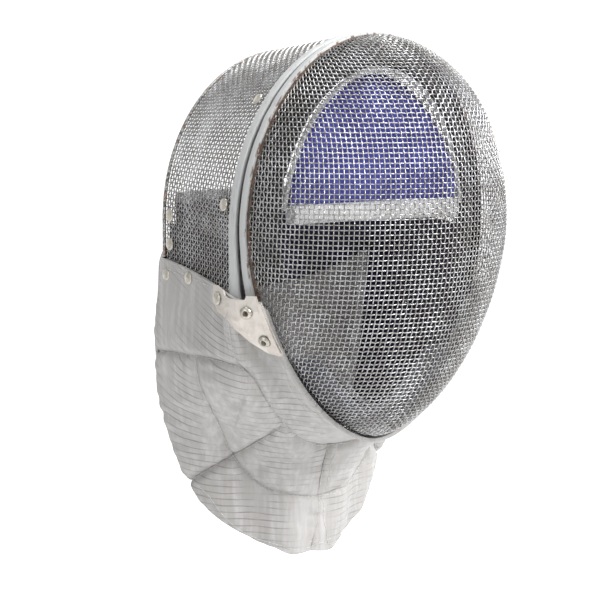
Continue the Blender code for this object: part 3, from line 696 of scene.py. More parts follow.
def railShares(angle):
    # Shares of the band that the groove leaves to each rail: it closes towards the crown.
    opened = (1 - np.cos(angle / 2) ** 2) ** 0.6
    groove = rails["crownGroove"] + (rails["groove"] - rails["crownGroove"]) * opened
    return rails["centre"] - groove / 2, rails["centre"] + groove / 2


def railProfile():
    # Across a rail: place from 0 to 1 and lift, a flat strip with rounded edges.
    top = rails["foot"] + rails["height"]
    width = rails["width"]
    points = [(0.0, rails["foot"])]
    radius = rails["edgeRadius"]
    for turn in np.linspace(0, math.pi / 2, 5):
        points.append((radius * (1 - math.cos(turn)) / width, top - radius * (1 - math.sin(turn))))
    for place in (0.35, 0.5, 0.65):
        points.append((place, top + 0.00018 * math.sin(place * math.pi)))
    for turn in np.linspace(math.pi / 2, 0, 5):
        points.append((1 - radius * (1 - math.cos(turn)) / width, top - radius * (1 - math.sin(turn))))
    return points + [(1.0, rails["foot"])]


def addRail(name, front):
    angles = np.linspace(-railEnd, railEnd, rails["steps"])
    low, high = railShares(angles)
    first, last = np.full_like(low, rails["flange"]), low
    if not front:
        first, last = high, np.full_like(high, rails["rear"])
    profile = railProfile()
    rng = np.random.default_rng(4 if front else 9)
    knots = rng.normal(0, 1, rails["dents"])
    dent = np.interp(np.arange(len(angles)), np.linspace(0, len(angles), rails["dents"]), knots)
    dent = dent * rails["dentDepth"]
    grid, flat = [], []
    walked = lengthAlong(rim(angles, 0.5))
    for place, lift in profile:
        share = first + (last - first) * place
        bulge = dent * (lift > rails["foot"])
        grid.append(rim(angles, share) - rimInward(angles, share) * (lift + bulge)[:, None])
        away = place if front else 1 - place
        beside = away * rails["width"] + (0.0 if lift > 0 else 0.0003)
        flat.append(np.stack([np.full(len(angles), beside), walked], -1))
    flat = np.array(flat).transpose(1, 0, 2)
    addSweep(name + "_strip", grid, finish["rail"], {"flat": flat}, (name,))


addRail("front_rail", True)
addRail("back_rail", False)


def addFlange():
    # Thin folded edge of the front rail, which traps the ends of the face wires.
    angles = np.linspace(-railEnd, railEnd, 260)
    grid = []
    for share, lift in [(-0.02, -0.0008), (-0.02, 0.0002), (0.0, 0.0006), (0.04, 0.0007),
                        (rails["flange"], 0.0006), (rails["flange"], -0.0008)]:
        grid.append(rim(angles, share) - rimInward(angles, np.clip(share, 0, 1)) * lift)
    addSweep("front_rail_flange", grid, finish["flange"])


addFlange()


def addGroove():
    angles = np.linspace(-railEnd, railEnd, 200)
    grid = []
    for share, lift in [(0.06, -0.0013), (0.35, -0.0013), (0.5, -0.0014), (0.65, -0.0013), (0.94, -0.0013),
                        (0.94, -0.0024), (0.06, -0.0024)]:
        grid.append(rim(angles, share) - rimInward(angles, share) * lift)
    addSweep("band_groove", grid, finish["groove"], replaces=("band_web",))


addGroove()


def addRearTrim():
    # Folded metal strip on the back mesh's cut edge.
    end = 1 - (0.017 + 0.0016) / (rear["rise"] * rearSpan)
    shares = np.linspace(-end, end, 260)
    path = rearArc(rearSpan * shares) + [0, 0.0019, 0]
    outward = unit(path * [1, 0, 1])
    profile = [(-0.0030, 0.0009), (-0.0012, 0.0011), (0.0002, 0.0009), (0.0007, 0.0), (0.0002, -0.0009),
               (-0.0012, -0.0011), (-0.0016, -0.0006), (-0.0004, 0.0), (-0.0016, 0.0006), (-0.0030, 0.0006)]
    grid = [path + outward * lift + np.array([0, back, 0]) for back, lift in profile]
    addSweep("back_edge_trim", grid, finish["trim"], replaces=("back_edge",))


addRearTrim()
print("band made")


bib = {"wall": 0.0026, "lap": 0.0090, "rearLap": 0.0170, "lead": 0.0100, "lapBend": 1.8, "depth": 0.2250,
       "halfWidth": 0.1010, "rearDepth": 0.0960, "sway": -0.0070, "plateStation": 0.55, "stations": 104,
       "rows": 96, "seamGap": 0.0008, "liningWall": 0.0024, "flapWall": 0.0022, "puff": 0.0026, "puffPx": 10,
       "relief": 0.0013, "crease": 0.0024, "creases": 26, "stitchPx": 3.6, "holdPx": (15, 16),
       "stripeSlope": (0.16, 0.36), "threadRadius": 0.00024}
# station, waist, middle and hem as shares of half width, rear depth and depth
bibRows = np.array([
    (0.00, 0.00, 0.34, -0.660, 0.000, 0.49, -0.800, 0.000, 0.53, -1.000),
    (0.16, 0.22, 0.27, -0.645, 0.210, 0.51, -0.785, 0.130, 0.55, -1.005),
    (0.33, 0.44, 0.19, -0.590, 0.330, 0.56, -0.755, 0.230, 0.60, -0.985),
    (0.48, 0.71, 0.10, -0.500, 0.475, 0.66, -0.720, 0.345, 0.69, -0.960),
    (0.62, 0.91, 0.18, -0.420, 0.680, 0.74, -0.680, 0.510, 0.76, -0.915),
    (0.80, 1.01, 0.55, -0.395, 0.820, 0.86, -0.640, 0.640, 0.87, -0.850),
    (1.00, 0.99, 0.98, -0.395, 0.900, 1.02, -0.590, 0.720, 1.00, -0.780),
])
cornerAngle = angleAt(-band["cornerDrop"])


def lowerEdge(station, lapped):
    if station < bib["plateStation"]:
        angle = math.pi - (math.pi - cornerAngle) * station / bib["plateStation"]
        return rim(angle, 0.0) - [0, bib["lap"] * lapped, 0]
    along = (station - bib["plateStation"]) / (1 - bib["plateStation"])
    raised = 1 - (1 - along) ** bib["lapBend"]
    y = -band["width"] / 2 + (rear["depth"] + band["width"] / 2) * along - bib["lap"] * (1 - raised) * lapped
    z = -band["cornerDrop"] + (band["cornerDrop"] - rear["dropRear"]) * along
    z += bib["rearLap"] * raised * lapped
    lead = y + bib["lead"]
    share = float(np.clip(0.5 + lead / band["width"], 0, 1))
    behind = max(0, lead - band["width"] / 2) / (rear["depth"] - band["width"] / 2)
    return np.array([float(lowWidth(np.array(z), share)) * (1 - behind) + rear["halfWidth"] * behind, y, z])


def outwardAt(station):
    corner = -rimInward(cornerAngle, 0.0)
    if station < bib["plateStation"]:
        return -rimInward(math.pi - (math.pi - cornerAngle) * station / bib["plateStation"], 0.0)
    along = (station - bib["plateStation"]) / (1 - bib["plateStation"])
    return unit(corner + (np.array([1.0, 0, 0]) - corner) * min(1, along * 6))


def bibGrid(stations, rows):
    # Middle surface of the whole bib, from the right rear edge round the throat to the left one.
    places = np.linspace(0, 1, stations)
    size = np.array([bib["halfWidth"], bib["rearDepth"], bib["depth"]])
    levels = [smoothThrough(bibRows[:, first:first + 3] * size, bibRows[:, 0], places) for first in (1, 4, 7)]
    columns = []
    for index, station in enumerate(places):
        offset = outwardAt(station) * (dome["shell"] + dome["gap"] + bib["wall"] / 2)
        spine = [lowerEdge(station, lapped) + offset for lapped in (1, 0)] + [row[index] for row in levels]
        length = lengthAlong(spine)
        lap, fall = np.linspace(0, length[1], 7)[:-1], np.linspace(length[1], length[-1], rows - 6)
        wanted = np.concatenate([lap, fall])
        columns.append(smoothThrough(spine, length, wanted))
    half = np.array(columns).transpose(1, 0, 2)
    whole = np.concatenate([half[:, :0:-1] * [-1, 1, 1], half], axis=1)
    depth = np.clip((-whole[..., 2] - band["drop"]) / (bib["depth"] - band["drop"]), 0, 1)
    whole[..., 0] += bib["sway"] * depth
    return whole


# Seams of the near side, as places in the photograph's frame. The far side mirrors them.
seams = {
    "border": [(283, 366), (289, 386), (299, 400), (312, 411), (327, 419), (344, 427), (361, 434)],
    "collar": [(228, 322), (233, 351), (239, 365), (253, 376), (266, 398), (278, 415), (289, 429), (301, 439),
               (312, 443), (344, 443), (371, 436)],
    "waist": [(158, 351), (176, 353), (195, 356), (211, 359), (226, 363), (244, 370)],
    "dart": [(195, 358), (200, 386), (210, 408), (220, 428), (233, 456), (253, 478), (266, 487), (286, 493),
             (314, 496), (336, 493)],
    "diagonal": [(190, 481), (215, 466), (235, 455), (256, 443), (281, 429)],
    "front": [(329, 444), (324, 463), (320, 486), (319, 502), (317, 527), (312, 546)],
    "top": [(163, 266), (178, 274), (196, 280), (213, 288)],
    "hem": [(197, 484), (208, 495), (222, 514), (237, 528), (256, 538), (279, 545), (298, 550), (314, 545),
            (331, 538)],
}
# Middle line of the near plate, in the photograph's frame.
plateSpine = [(216, 288), (232, 303), (250, 312), (262, 332), (272, 348)]
# Depth of a seam's groove, as a share of the relief, and its width in px.
grooves = {"border": (0.3, 1.8), "collar": (1.5, 3.0), "waist": (2.2, 3.6), "dart": (1.9, 3.2),
           "diagonal": (2.6, 3.2), "front": (1.6, 2.8), "hem": (0.35, 2.0), "top": (0.3, 1.8)}
# Dents of the near side: place, reach along and across in px, turn in degrees, and share of the relief.
dents = [
    (254, 388, 20, 9, 55, 2.6), (270, 412, 16, 7, 40, 2.2), (232, 372, 16, 7, 20, 1.6),
    (283, 436, 14, 6, 30, 1.4), (211, 372, 26, 5, 25, 0.9), (240, 402, 26, 6, 32, 1.1),
    (226, 424, 22, 6, 30, 0.9), (255, 424, 22, 5, 30, 1.2), (276, 452, 20, 9, 10, 1.6),
    (262, 463, 24, 6, 25, 1.0), (185, 385, 22, 6, 20, 0.9), (192, 410, 20, 5, 25, 0.7),
    (300, 464, 22, 5, 8, 0.7), (300, 515, 26, 5, 5, 0.6), (344, 470, 14, 5, -8, 0.7),
    (345, 505, 12, 5, -12, 0.6), (186, 318, 26, 6, 28, 0.7), (206, 338, 24, 6, 30, 0.7),
    (176, 300, 18, 5, 25, 0.5), (246, 340, 9, 16, 0, -0.8),
]


def evened(field, times):
    # Averages a field over neighbouring points of its grid.
    for step in range(times):
        wide = np.pad(field, ((1, 1), (1, 1), (0, 0)), mode="edge")
        field = (wide[2:, 1:-1] + wide[:-2, 1:-1] + wide[1:-1, 2:] + wide[1:-1, :-2] + field * 2) / 6
    return unit(field)


def alongSeam(points, spacing=1.5):
    points = np.array(points, float)
    length = lengthAlong(points)
    wanted = np.linspace(0, length[-1], max(2, int(length[-1] / spacing)))
    return smoothThrough(points, length, wanted)


def seamDistance(places, points):
    near = np.full(places.shape[:-1], 1e9)
    for point in alongSeam(points):
        near = np.minimum(near, np.sum((places - point) ** 2, axis=-1))
    return np.sqrt(near)


def sewn(grid):
    # Presses the seams in, puffs the panels between them and adds the dents and small creases.
    normals = evened(gridNormals(grid), 4)
    middle = grid.shape[1] // 2
    depth = np.clip((-grid[..., 2] - band["drop"]) / (bib["depth"] - band["drop"]), 0, 1)
    straight = grid - np.stack([bib["sway"] * depth, 0 * depth, 0 * depth], -1)
    nearSide = np.where((np.arange(grid.shape[1]) <= middle)[None, :, None], straight, straight * [-1, 1, 1])
    nearSide = nearSide + np.stack([bib["sway"] * depth, 0 * depth, 0 * depth], -1)
    places = photoPx(nearSide)
    lift = np.zeros(grid.shape[:2])
    nearest = np.full(grid.shape[:2], 1e9)
    for name, points in seams.items():
        away = seamDistance(places, points)
        deep, wide = grooves[name]
        lift -= deep * bib["relief"] * np.exp(-((away / wide) ** 2))
        if name in ("collar", "waist", "dart", "diagonal", "front"):
            nearest = np.minimum(nearest, away)
    lift += bib["puff"] * (1 - np.exp(-nearest / bib["puffPx"]))
    for x, y, reach, width, turn, deep in dents:
        turn = math.radians(turn)
        off = places - [x, y]
        along = off[..., 0] * math.cos(turn) + off[..., 1] * math.sin(turn)
        across = -off[..., 0] * math.sin(turn) + off[..., 1] * math.cos(turn)
        lift -= deep * bib["relief"] * np.exp(-((along / reach) ** 2) - (across / width) ** 2)
    # The part that laps the mesh stays flat on it.
    down = gridDown(grid)
    lift *= np.clip((down - 0.006) / 0.022, 0, 1)
    rng = np.random.default_rng(12)
    crease = np.zeros(grid.shape[:2])
    for count in range(bib["creases"]):
        slope, pace, start = rng.uniform(-0.5, 0.5), rng.uniform(0.12, 0.55), rng.uniform(0, 6.28)
        crease += np.sin(pace * (places[..., 1] + slope * places[..., 0]) + start) / bib["creases"]
    lift += crease * bib["crease"] * np.clip((down - 0.015) / 0.05, 0, 1)
    # The plates hold the cloth down.
    held, fade = bib["holdPx"]
    lift *= np.clip((seamDistance(places, plateSpine) - held) / fade, 0, 1)
    return grid + normals * lift[..., None]


def stripeLay(grid):
    # The stripes' height on the cloth: level at the front, rising to the rear, most of all near the band.
    behind = np.maximum(grid[..., 1] - 0.006, 0)
    least, more = bib["stripeSlope"]
    slope = least + more * np.clip((grid[..., 2] + 0.150) / 0.090, 0, 1)
    return grid[..., 2] - slope * behind


def addBib():
    grid = sewn(bibGrid(bib["stations"], bib["rows"]))
    flats = {"flat": gridFlat(grid), "lay": np.stack([stripeLay(grid), grid[..., 1]], -1)}
    made = addCloth("bib_cloth", grid, bib["wall"], finish["lame"], ("bib",), flats)
    soften = made.modifiers.new("roundEdge", "BEVEL")
    soften.width, soften.segments, soften.limit_method = 0.0007, 2, "ANGLE"
    cutFlat(grid)
    return grid


bibMiddle = addBib()
print("bib made")


def castOn(tree, px, mirrored=False):
    # Point and outward direction of the cloth at a place of the photograph.
    right, up, back = cameraAxes()
    scale = look["pxPerMm"] * 1000
    target = right * (px[0] - look["earLevelPx"][0]) / scale - up * (px[1] - look["earLevelPx"][1]) / scale
    eye = back * look["distance"]
    ahead = unit(target - eye)
    flip = np.array([-1.0, 1, 1]) if mirrored else np.ones(3)
    hit, normal = tree.ray_cast(Vector(eye * flip), Vector(ahead * flip), 3.0)[:2]
    if hit is None:
        return None
    normal = np.array(normal)
    if np.dot(normal, ahead * flip) > 0:
        normal = -normal
    return np.array(hit), normal


def addStitches():
    outer = bibMiddle + gridNormals(bibMiddle) * bib["wall"] / 2
    corners = [tuple(point) for point in outer.reshape(-1, 3)]
    tree = BVHTree.FromPolygons(corners, gridFaces(*outer.shape[:2]).tolist())
    paths, normals = [], []
    for points in seams.values():
        spots = alongSeam(points, bib["stitchPx"])
        for mirrored in (False, True):
            hits = [castOn(tree, spot, mirrored) for spot in spots]
            for before, after in zip(hits[:-1], hits[1:]):
                if before is None or after is None or np.linalg.norm(after[0] - before[0]) > 0.008:
                    continue
                shares = np.array([0.08, 0.3, 0.7, 0.92])[:, None]
                path = before[0] + (after[0] - before[0]) * shares
                out = unit(before[1] + after[1])
                lift = np.array([-0.0001, 0.00022, 0.00022, -0.0001])[:, None]
                paths.append(path + out * lift)
                normals.append(np.tile(out, (4, 1)))
    points, faces = tubes(paths, normals, bib["threadRadius"], 5, capped=True)
    addPiece("bib_stitches", points, faces, finish["thread"])
    print("  ", len(paths), "stitches")


addStitches()


flap = {"back": 0.112, "centreGap": 0.0012, "hollow": 0.006, "shoulder": 0.030, "wingStart": 0.006,
        "wingRise": 0.026, "wingReach": 0.50, "ripple": 0.0005, "bindingWidth": 0.006}


def rowsBetween(grid, first, last):
    # Rows of the fine grid that match the solid's rows first to last of twelve below the lap.
    fine = grid.shape[0] - 7
    return grid[6 + int(round(fine * (first - 1) / 11)):7 + int(round(fine * (last - 1) / 11))]


def flapGrid(side, shares, inset=0.0):
    whole = bibGrid(40, bib["rows"])
    edge = rowsBetween(whole, 1, 10)[:, -1 if side > 0 else 0]
    levels = np.linspace(1, 0, len(edge))
    centre = np.array([side * flap["centreGap"] / 2, flap["back"], 0]) + edge * [0, 0, 1]
    start = edge + [0, bib["seamGap"], 0]
    bend = edge + [0, (flap["back"] - rear["depth"]) * 0.7, 0]
    columns = []
    for share in shares:
        point = (1 - share) ** 2 * start + 2 * share * (1 - share) * bend + share**2 * centre
        ahead = (1 - share) * (bend - start) + share * (centre - bend)
        outward = np.cross(ahead, [0, 0, 1.0]) * side
        point = point - unit(outward) * inset
        point[:, 2] += (flap["shoulder"] * math.sin(math.pi * share) - flap["hollow"] * share) * levels
        columns.append(point)
    return np.array(columns).transpose(1, 0, 2)


def rippled(grid, size, seed):
    rng = np.random.default_rng(seed)
    lift = np.zeros(grid.shape[:2])
    row, column = np.mgrid[:grid.shape[0], :grid.shape[1]]
    for count in range(9):
        down, aside, start = rng.uniform(0.02, 0.22), rng.uniform(-0.15, 0.15), rng.uniform(0, 6.28)
        lift += np.sin(row * down + column * aside + start)
    fromRows = np.minimum(row, grid.shape[0] - 1 - row)
    edge = np.minimum(fromRows, np.minimum(column, grid.shape[1] - 1 - column))
    return grid + gridNormals(grid) * (lift * size / 9 * np.clip(edge / 5, 0, 1))[..., None]


# Share of the back mesh's arc where the upper part starts and ends, and its distance inside the mesh.
lining = {"top": 0.815, "foot": 0.985, "inset": 0.0046, "ripple": 0.0003}


def addLinings():
    # The lining follows the bib's folds, but not its seams.
    plain = bibGrid(bib["stations"], bib["rows"])
    normals = evened(gridNormals(plain), 4)
    inset = bib["wall"] / 2 + bib["seamGap"] + bib["liningWall"] / 2
    fold = np.sum((bibMiddle - plain) * normals, axis=-1, keepdims=True)
    moved = plain + normals * (np.minimum(fold, 0) - inset)
    middle = plain.shape[1] // 2
    first = int(round((bib["stations"] - 1) * 0.5))
    for side, word in ((-1, "right"), (1, "left")):
        part = rowsBetween(moved, 3, 12)
        part = part[:, middle + first:] if side > 0 else part[:, :middle - first + 1]
        grid = rippled(part, lining["ripple"], 3)
        made = addCloth("lining_cloth_" + word, grid, bib["liningWall"], finish["navy"], ("lining_" + word,))
        # Its upper part runs on inside the back mesh, up to the strap.
        alongs = (np.linspace(0, 1, bib["stations"]) - bib["plateStation"]) / (1 - bib["plateStation"])
        behind = np.nonzero(alongs > 0.02)[0]
        shares = np.linspace(lining["top"], lining["foot"], 16) * side
        shares, depths = np.meshgrid(shares, alongs[behind], indexing="ij")
        upper = rearMesh(shares, depths) + rearNormals(shares, depths) * lining["inset"]
        lower = moved[9:22, middle + behind] if side > 0 else moved[9:22, middle - behind]
        upper = addCloth("lining_upper_" + word, np.concatenate([upper, lower]), bib["liningWall"],
                         finish["navy"])
        cutFlat(grid)


addLinings()


def addFlaps():
    inset = bib["flapWall"] / 2 + bib["seamGap"] + bib["liningWall"] / 2
    for side, word in ((-1, "right"), (1, "left")):
        cloth = rippled(flapGrid(side, np.linspace(0, 1, 70)), flap["ripple"], 5)
        flats = {"flat": gridFlat(cloth), "lay": np.stack([stripeLay(cloth), cloth[..., 1]], -1)}
        made = addCloth("rear_flap_cloth_" + word, cloth, bib["flapWall"], finish["lame"],
                        ("rear_flap_" + word,), flats)
        cutFlat(cloth)
        start = flap["wingReach"] + bib["seamGap"] / flap["back"]
        tape = flapGrid(side, np.linspace(start, start + flap["bindingWidth"] / flap["back"], 8), inset)
        edging = addCloth("lining_edging_" + word, tape, bib["liningWall"], finish["binding"],
                          ("lining_binding_" + word,), {"flat": gridFlat(tape)[..., ::-1]})
        shares = np.linspace(flap["wingStart"], flap["wingReach"], 36)
        wing = flapGrid(side, shares, inset)
        # Its top runs up behind the strap towards the back mesh.
        above = np.clip(1 - np.arange(len(wing)) / 14, 0, 1)[:, None] * np.clip(1 - shares / 0.30, 0, 1)
        wing[..., 2] += flap["wingRise"] * above
        made = addCloth("lining_wing_cloth_" + word, wing, bib["liningWall"], finish["navy"],
                        ("lining_wing_" + word,))
        cutFlat(wing)


addFlaps()
print("lining and flaps made")


pads = {"inset": 0.0035, "span": 1.90, "pipingSpan": 1.45, "thickness": 0.0170, "reach": 0.0180,
        "depth": 0.0130, "piping": 0.0016, "gap": 0.0003, "pinch": 0.10, "pinchWidth": 0.10,
        "chinSpan": 0.80, "chinInset": 0.0024, "chinThickness": 0.0150, "channels": (-0.026, 0.026),
        "levelChannel": 0.040, "channelWidth": 0.0022,
        "foreheadSpan": 1.30, "foreheadWall": 0.012, "foreheadFront": 0.021, "foreheadHollow": 0.006,
        "foreheadFoot": 0.016, "bindingHeight": 0.012}


def padPoint(angle, inside, depth):
    share = np.clip(0.5 + depth / band["width"], 0, 1)
    base = rim(angle, share) + rimInward(angle, share) * np.asarray(inside)[..., None]
    base[..., 1] += depth - band["width"] * (share - 0.5)
    return base


def roundedLoop(corners, count=22):
    # A closed loop that cuts the corners of a profile, as soft foam does.
    corners = np.array(corners, float)
    for step in range(3):
        after = np.roll(corners, -1, axis=0)
        corners = np.stack([corners * 0.75 + after * 0.25, corners * 0.25 + after * 0.75], 1).reshape(-1, 2)
    closed = np.concatenate([corners, corners[:1]])
    length = lengthAlong(closed)
    wanted = np.linspace(0, length[-1], count, endpoint=False)
    return np.stack([np.interp(wanted, length, closed[:, axis]) for axis in (0, 1)], -1)


def padSweep(name, corners, span, finishName, replaces, steps, seamEvery, middle=0.0):
    profile = roundedLoop(corners)
    centre = profile.mean(axis=0)
    angles = np.linspace(middle - span, middle + span, steps)
    grid = []
    for place, depth in profile:
        # Each sewn channel draws the pad in a little.
        seam = np.sin((angles - middle) * math.pi / seamEvery) / pads["pinchWidth"]
        pinch = 1 - pads["pinch"] * np.exp(-seam**2)
        inside = centre[0] + (place - centre[0]) * pinch
        grid.append(padPoint(angles, inside, centre[1] + (depth - centre[1]) * pinch))
    made = addSweep(name + "_foam", grid, finish[finishName], replaces=replaces)


def padCorners(inset, thickness):
    inner = inset + thickness
    front = -pads["reach"] + pads["depth"] / 3
    return [(inset, band["width"] / 2), (inset, -band["width"] / 4),
            (inner - thickness / 4, -pads["reach"] + 0.002), (inner, front),
            (inner, pads["depth"] - pads["reach"]), (inset + thickness / 2, band["width"] / 2)]


def addPiping(name, inside, depth, span, finishName, middle=0.0):
    angles = np.linspace(middle - span, middle + span, 200)
    path = padPoint(angles, np.full(200, inside), depth)
    points, faces = tubes([path], [np.tile([0.0, 1.0, 0.0], (200, 1))], pads["piping"], 10, capped=True)
    walked = lengthAlong(path)
    flat = np.stack([np.repeat(walked, 10), np.tile(np.arange(10) * 0.001, 200)], -1)
    addPiece(name + "_cord", points, faces, finish[finishName], {"flat": flat}, (name,))


inner = pads["inset"] + pads["thickness"]
padFront = -pads["reach"] + pads["depth"] / 3
ringCorners = padCorners(pads["inset"], pads["thickness"])
padSweep("pad_ring", ringCorners, pads["span"], "black", ("pad_ring",), 240, 0.42)
addPiping("pad_piping", inner + pads["gap"] + pads["piping"], padFront, pads["pipingSpan"], "piping")
chinEdge = -band["width"] / 2
chinInner = pads["chinInset"] + pads["chinThickness"]
chinFront = chinEdge - pads["reach"] + pads["depth"] / 4
chinCorners = [(pads["chinInset"], chinEdge + pads["depth"]),
               (pads["chinInset"], chinEdge - pads["depth"] / 3),
               (chinInner - pads["chinThickness"] / 4, chinEdge - pads["reach"]), (chinInner, chinFront),
               (chinInner, chinEdge + pads["depth"] / 2)]
padSweep("chin_pad", chinCorners, pads["chinSpan"], "grey", ("chin_pad",), 120, 0.40, math.pi)
addPiping("chin_piping", chinInner + pads["gap"] + pads["piping"], chinFront, pads["chinSpan"], "chinPiping",
          math.pi)


def foreheadDepth(x, halfWidth):
    return (-pads["foreheadFront"] + pads["foreheadWall"] / 2
            + pads["foreheadHollow"] * (1 - (x / halfWidth) ** 2))


def addForehead():
    inside = inner + 2 * pads["gap"] + 2 * pads["piping"]
    halfWidth = band["halfWidth"] - inside
    foot = pads["foreheadFoot"] + pads["gap"]
    rows, columns = 50, 81
    angles = np.linspace(-pads["foreheadSpan"], pads["foreheadSpan"], columns)
    top = padPoint(angles, np.full(columns, inside), padFront)
    shares = np.linspace(0, 1, rows)[:, None]
    x = np.tile(top[:, 0], (rows, 1))
    z = foot + (top[:, 2] - foot) * shares
    middle = np.stack([x, foreheadDepth(x, halfWidth), z], -1)
    edge = np.minimum(np.minimum(shares, 1 - shares) * 2.2, 1) * np.minimum(
        np.minimum(np.linspace(0, 1, columns), np.linspace(1, 0, columns)) * 8, 1)
    thick = pads["foreheadWall"] / 2 * np.clip(edge, 0, 1) ** 0.45
    # Two upright channels and one level one are sewn through the pad.
    for place in pads["channels"]:
        thick = thick * (1 - 0.35 * np.exp(-((x - place) / pads["channelWidth"]) ** 2))
    thick = thick * (1 - 0.30 * np.exp(-((z - foot - pads["levelChannel"]) / pads["channelWidth"]) ** 2))
    front = middle - thick[..., None] * [0, 1, 0]
    back = middle + thick[..., None] * [0, 1, 0]
    count = rows * columns
    faces = gridFaces(rows, columns).tolist()
    faces += [[d + count, c + count, b + count, a + count] for a, b, c, d in faces]
    last = (rows - 1) * columns
    loop = [*range(columns), *range(2 * columns - 1, rows * columns, columns),
            *range(last + columns - 2, last - 1, -1), *range(last - columns, 0, -columns)]
    for before, after in zip(loop, loop[1:] + loop[:1]):
        faces.append([before, after, after + count, before + count])
    made = addPiece("forehead_foam", np.concatenate([front.reshape(-1, 3), back.reshape(-1, 3)]), faces,
                    finish["blue"], replaces=("forehead_pad",))
    width = np.linspace(middle[0, 0, 0], middle[0, -1, 0], 120)
    heights = np.linspace(pads["foreheadFoot"], pads["foreheadFoot"] - pads["bindingHeight"], 14)
    strip = np.array([[(w, foreheadDepth(w, halfWidth), h) for w in width] for h in heights])
    reach = (heights - heights.mean()) / (pads["bindingHeight"] / 2 + 0.0002)
    swell = 0.0018 + 0.0038 * np.sqrt(np.clip(1 - reach**2, 0, 1))
    swell = swell[:, None, None] * [0, 1, 0]
    ring = np.concatenate([strip - swell, (strip + swell)[::-1]]).transpose(1, 0, 2)
    walked = lengthAlong(strip[0])
    flat = np.stack([np.repeat(walked[:, None], 28, 1), np.tile(np.arange(28) * 0.001, (120, 1))], -1)
    tape = addPiece("forehead_tape", ring, sweepFaces(120, 28), finish["binding"], {"flat": flat},
                    ("forehead_binding",))


addForehead()


strap = {"inset": 0.0060, "root": 0.0110, "reach": 0.0170, "endLength": 0.0300, "turn": 1.25, "taper": 2.6,
         "wall": 0.0050, "height": 0.0600, "top": 0.0140}


def strapGrid(acrosses, levels):
    width = rear["halfWidth"] - strap["inset"]
    start, back = rear["depth"] - strap["root"], rear["depth"] + strap["reach"]
    rows = []
    for level in levels:
        row = []
        for across in acrosses:
            turn = across * math.pi / 2 * strap["turn"]
            capped = min(abs(turn), math.pi / 2)
            x = width * math.sin(turn) if abs(turn) <= math.pi / 2 else math.copysign(width, turn)
            y = start + (back - start) * max(0, math.cos(capped)) - (abs(turn) - capped) * strap["endLength"]
            middle = max(0, math.cos(capped)) ** strap["taper"]
            bottom = strap["top"] - strap["height"] * (1 + middle) / 2
            z = bottom + (strap["top"] - bottom) * level if level <= 1 else strap["top"] + level - 1
            row.append((x, y, z))
        rows.append(row)
    return np.array(rows)


def addStrap():
    across = np.linspace(-1, 1, 140)
    cloth = strapGrid(across, np.linspace(0, 1, 30))
    made = addCloth("back_strap_cloth", cloth, strap["wall"], finish["navy"], ("back_strap",))
    tape = strapGrid(across, [1.0003, 1.0018, 1.0033, 1.0048, 1.0063])
    flats = {"flat": gridFlat(tape)}
    edge = addCloth("strap_edging", tape, strap["wall"], finish["binding"], ("strap_binding",), flats)


addStrap()
print("padding made")


# Profiles of the heads: share of the radius, and height over the foot.
heads = {"sides": 48, "wobble": 0.012,
         "rivet": [(0.0, 0.00125), (0.30, 0.00122), (0.62, 0.00110), (0.84, 0.00084), (0.95, 0.00050),
                   (1.0, 0.00018), (1.0, 0.0)],
         "screw": [(0.0, 0.00095), (0.40, 0.00105), (0.47, 0.00210), (0.55, 0.00200), (0.72, 0.00165),
                   (0.9, 0.00090), (1.0, 0.00020), (1.0, 0.0)]}


def nodeFrame(name):
    # Middle of a small head's foot, its outward direction and its radius, read from its solid.
    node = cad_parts[name]
    points = np.array([vertex.co[:] for vertex in node.data.vertices])
    centre = points.mean(axis=0)
    outward = np.linalg.eigh(np.cov((points - centre).T))[1][:, 0]
    if np.dot(outward, centre - seat) < 0:
        outward = -outward
    along = (points - centre) @ outward
    flatPoints = points[along < along.min() + 0.0002]
    foot = flatPoints.mean(axis=0)
    radius = np.linalg.norm(flatPoints - foot, axis=1).max()
    return foot, outward, radius


def addHead(name, kind):
    foot, outward, radius = nodeFrame(name)
    profile = heads[kind]
    sides = heads["sides"]
    first = unit(np.cross(outward, [0.3, 1.0, 0.2]))
    second = np.cross(outward, first)
    rng = np.random.default_rng(len(name) * 7 + ord(name[-1]))
    points, flats = [], []
    turns = np.linspace(0, 2 * math.pi, sides, endpoint=False)
    fine = [(0.04, profile[0][1])] + profile[1:]
    for reach, lift in fine:
        wobble = 1 + heads["wobble"] * np.sin(turns * 3 + rng.uniform(0, 6))
        height = np.full(sides, lift)
        flats.append(np.stack([np.full(sides, reach), turns], -1))
        points.append(foot + (first * np.cos(turns)[:, None] + second * np.sin(turns)[:, None])
                      * (reach * radius * wobble)[:, None] + outward * height[:, None])
    grid = np.array(points)
    faces = gridFaces(len(fine), sides, True).tolist() + [list(range(sides))]
    addPiece(name + "_head", grid, faces, finish[kind], {"flat": np.array(flats)}, (name,), offset=0)


for nodeName in sorted(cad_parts):
    if "rivet" in nodeName:
        addHead(nodeName, "rivet")
    elif "screw" in nodeName:
        addHead(nodeName, "screw")


def dressNode(name, made):
    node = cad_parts[name]
    for slot in node.material_slots:
        slot.material = made.material
    if not node.material_slots:
        node.data.materials.append(made.material)


for nodeName in ("side_plate_right", "side_plate_left", "plate_lip_right", "plate_lip_left"):
    dressNode(nodeName, finish["plate"])
print("plates and heads made")


studio = {"floorDrop": 0.75, "halfWidth": 9.0, "near": -4.0, "far": 7.0, "wall": 6.0, "radius": 2.0,
          "sky": 0.42, "aim": (0, 0, -0.14)}
# Place, power and size of each light.
lights = {"keyLight": ((0.7, -2.1, 1.1), 57, 1.1), "fillLight": ((-2.3, -1.0, 0.7), 12, 1.4),
          "topLight": ((0.2, 0.2, 2.2), 38, 1.4), "sideLight": ((2.3, -0.3, 0.4), 22, 1.4)}


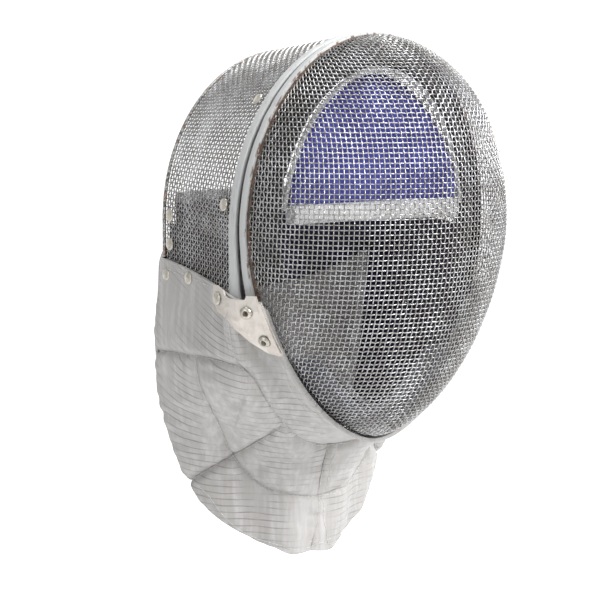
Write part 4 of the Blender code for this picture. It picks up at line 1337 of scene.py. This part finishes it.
def addFloor():
    # Pale floor that sweeps up behind the mask, seen from the camera's side.
    made = Finish("paleFloor", "rail", (0.92, 0.92, 0.92), 0.9, Emission_Strength=0.6)
    made.feed("Base Color", made.blend((0.92, 0.92, 0.92), (0.90, 0.90, 0.90), made.noise(3, 2)))
    # The far sweep glows, as a lit studio wall does.
    deep = made.node("ShaderNodeSeparateXYZ", sockets={0: made.place()}, output=1)
    made.feed("Emission Color", made.blend((0, 0, 0), (1, 1, 1), deep.step(1.5, 3.2)))
    profile = [(studio["near"], 0.0), (studio["far"] - studio["radius"], 0.0)]
    for turn in np.linspace(0, math.pi / 2, 17)[1:]:
        profile.append((studio["far"] - studio["radius"] + studio["radius"] * math.sin(turn),
                        studio["radius"] * (1 - math.cos(turn))))
    profile.append((studio["far"], studio["wall"]))
    points = []
    for deep, high in profile:
        for wide in (-studio["halfWidth"], studio["halfWidth"]):
            points.append((wide, deep, high))
    rows = len(profile)
    faces = gridFaces(rows, 2).tolist()
    mesh = bpy.data.meshes.new("studio_floor")
    mesh.from_pydata(points, [], faces)
    mesh.shade_smooth()
    mesh.materials.append(made.material)
    floor = bpy.data.objects.new("studio_floor", mesh)
    floor.location = (0, 0, cadBox[0][2] - studio["floorDrop"])
    floor.rotation_euler = (0, 0, look["azimuth"])
    bpy.context.scene.collection.objects.link(floor)


def addLight(name, place, power, size):
    lamp = bpy.data.lights.new(name, "AREA")
    lamp.energy, lamp.size = power, size
    made = bpy.data.objects.new(name, lamp)
    made.location = place
    made.rotation_euler = (Vector(studio["aim"]) - Vector(place)).to_track_quat("-Z", "Y").to_euler()
    bpy.context.scene.collection.objects.link(made)


def addStudio():
    addFloor()
    world = bpy.data.worlds.new("studioWorld")
    world.use_nodes = True
    sky = world.node_tree.nodes["Background"]
    sky.inputs["Color"].default_value = (1, 1, 1, 1)
    sky.inputs["Strength"].default_value = studio["sky"]
    bpy.context.scene.world = world
    for name, (place, power, size) in lights.items():
        addLight(name, place, power, size)
    bpy.context.scene.view_settings.view_transform = "Standard"


addStudio()
print("studio made")
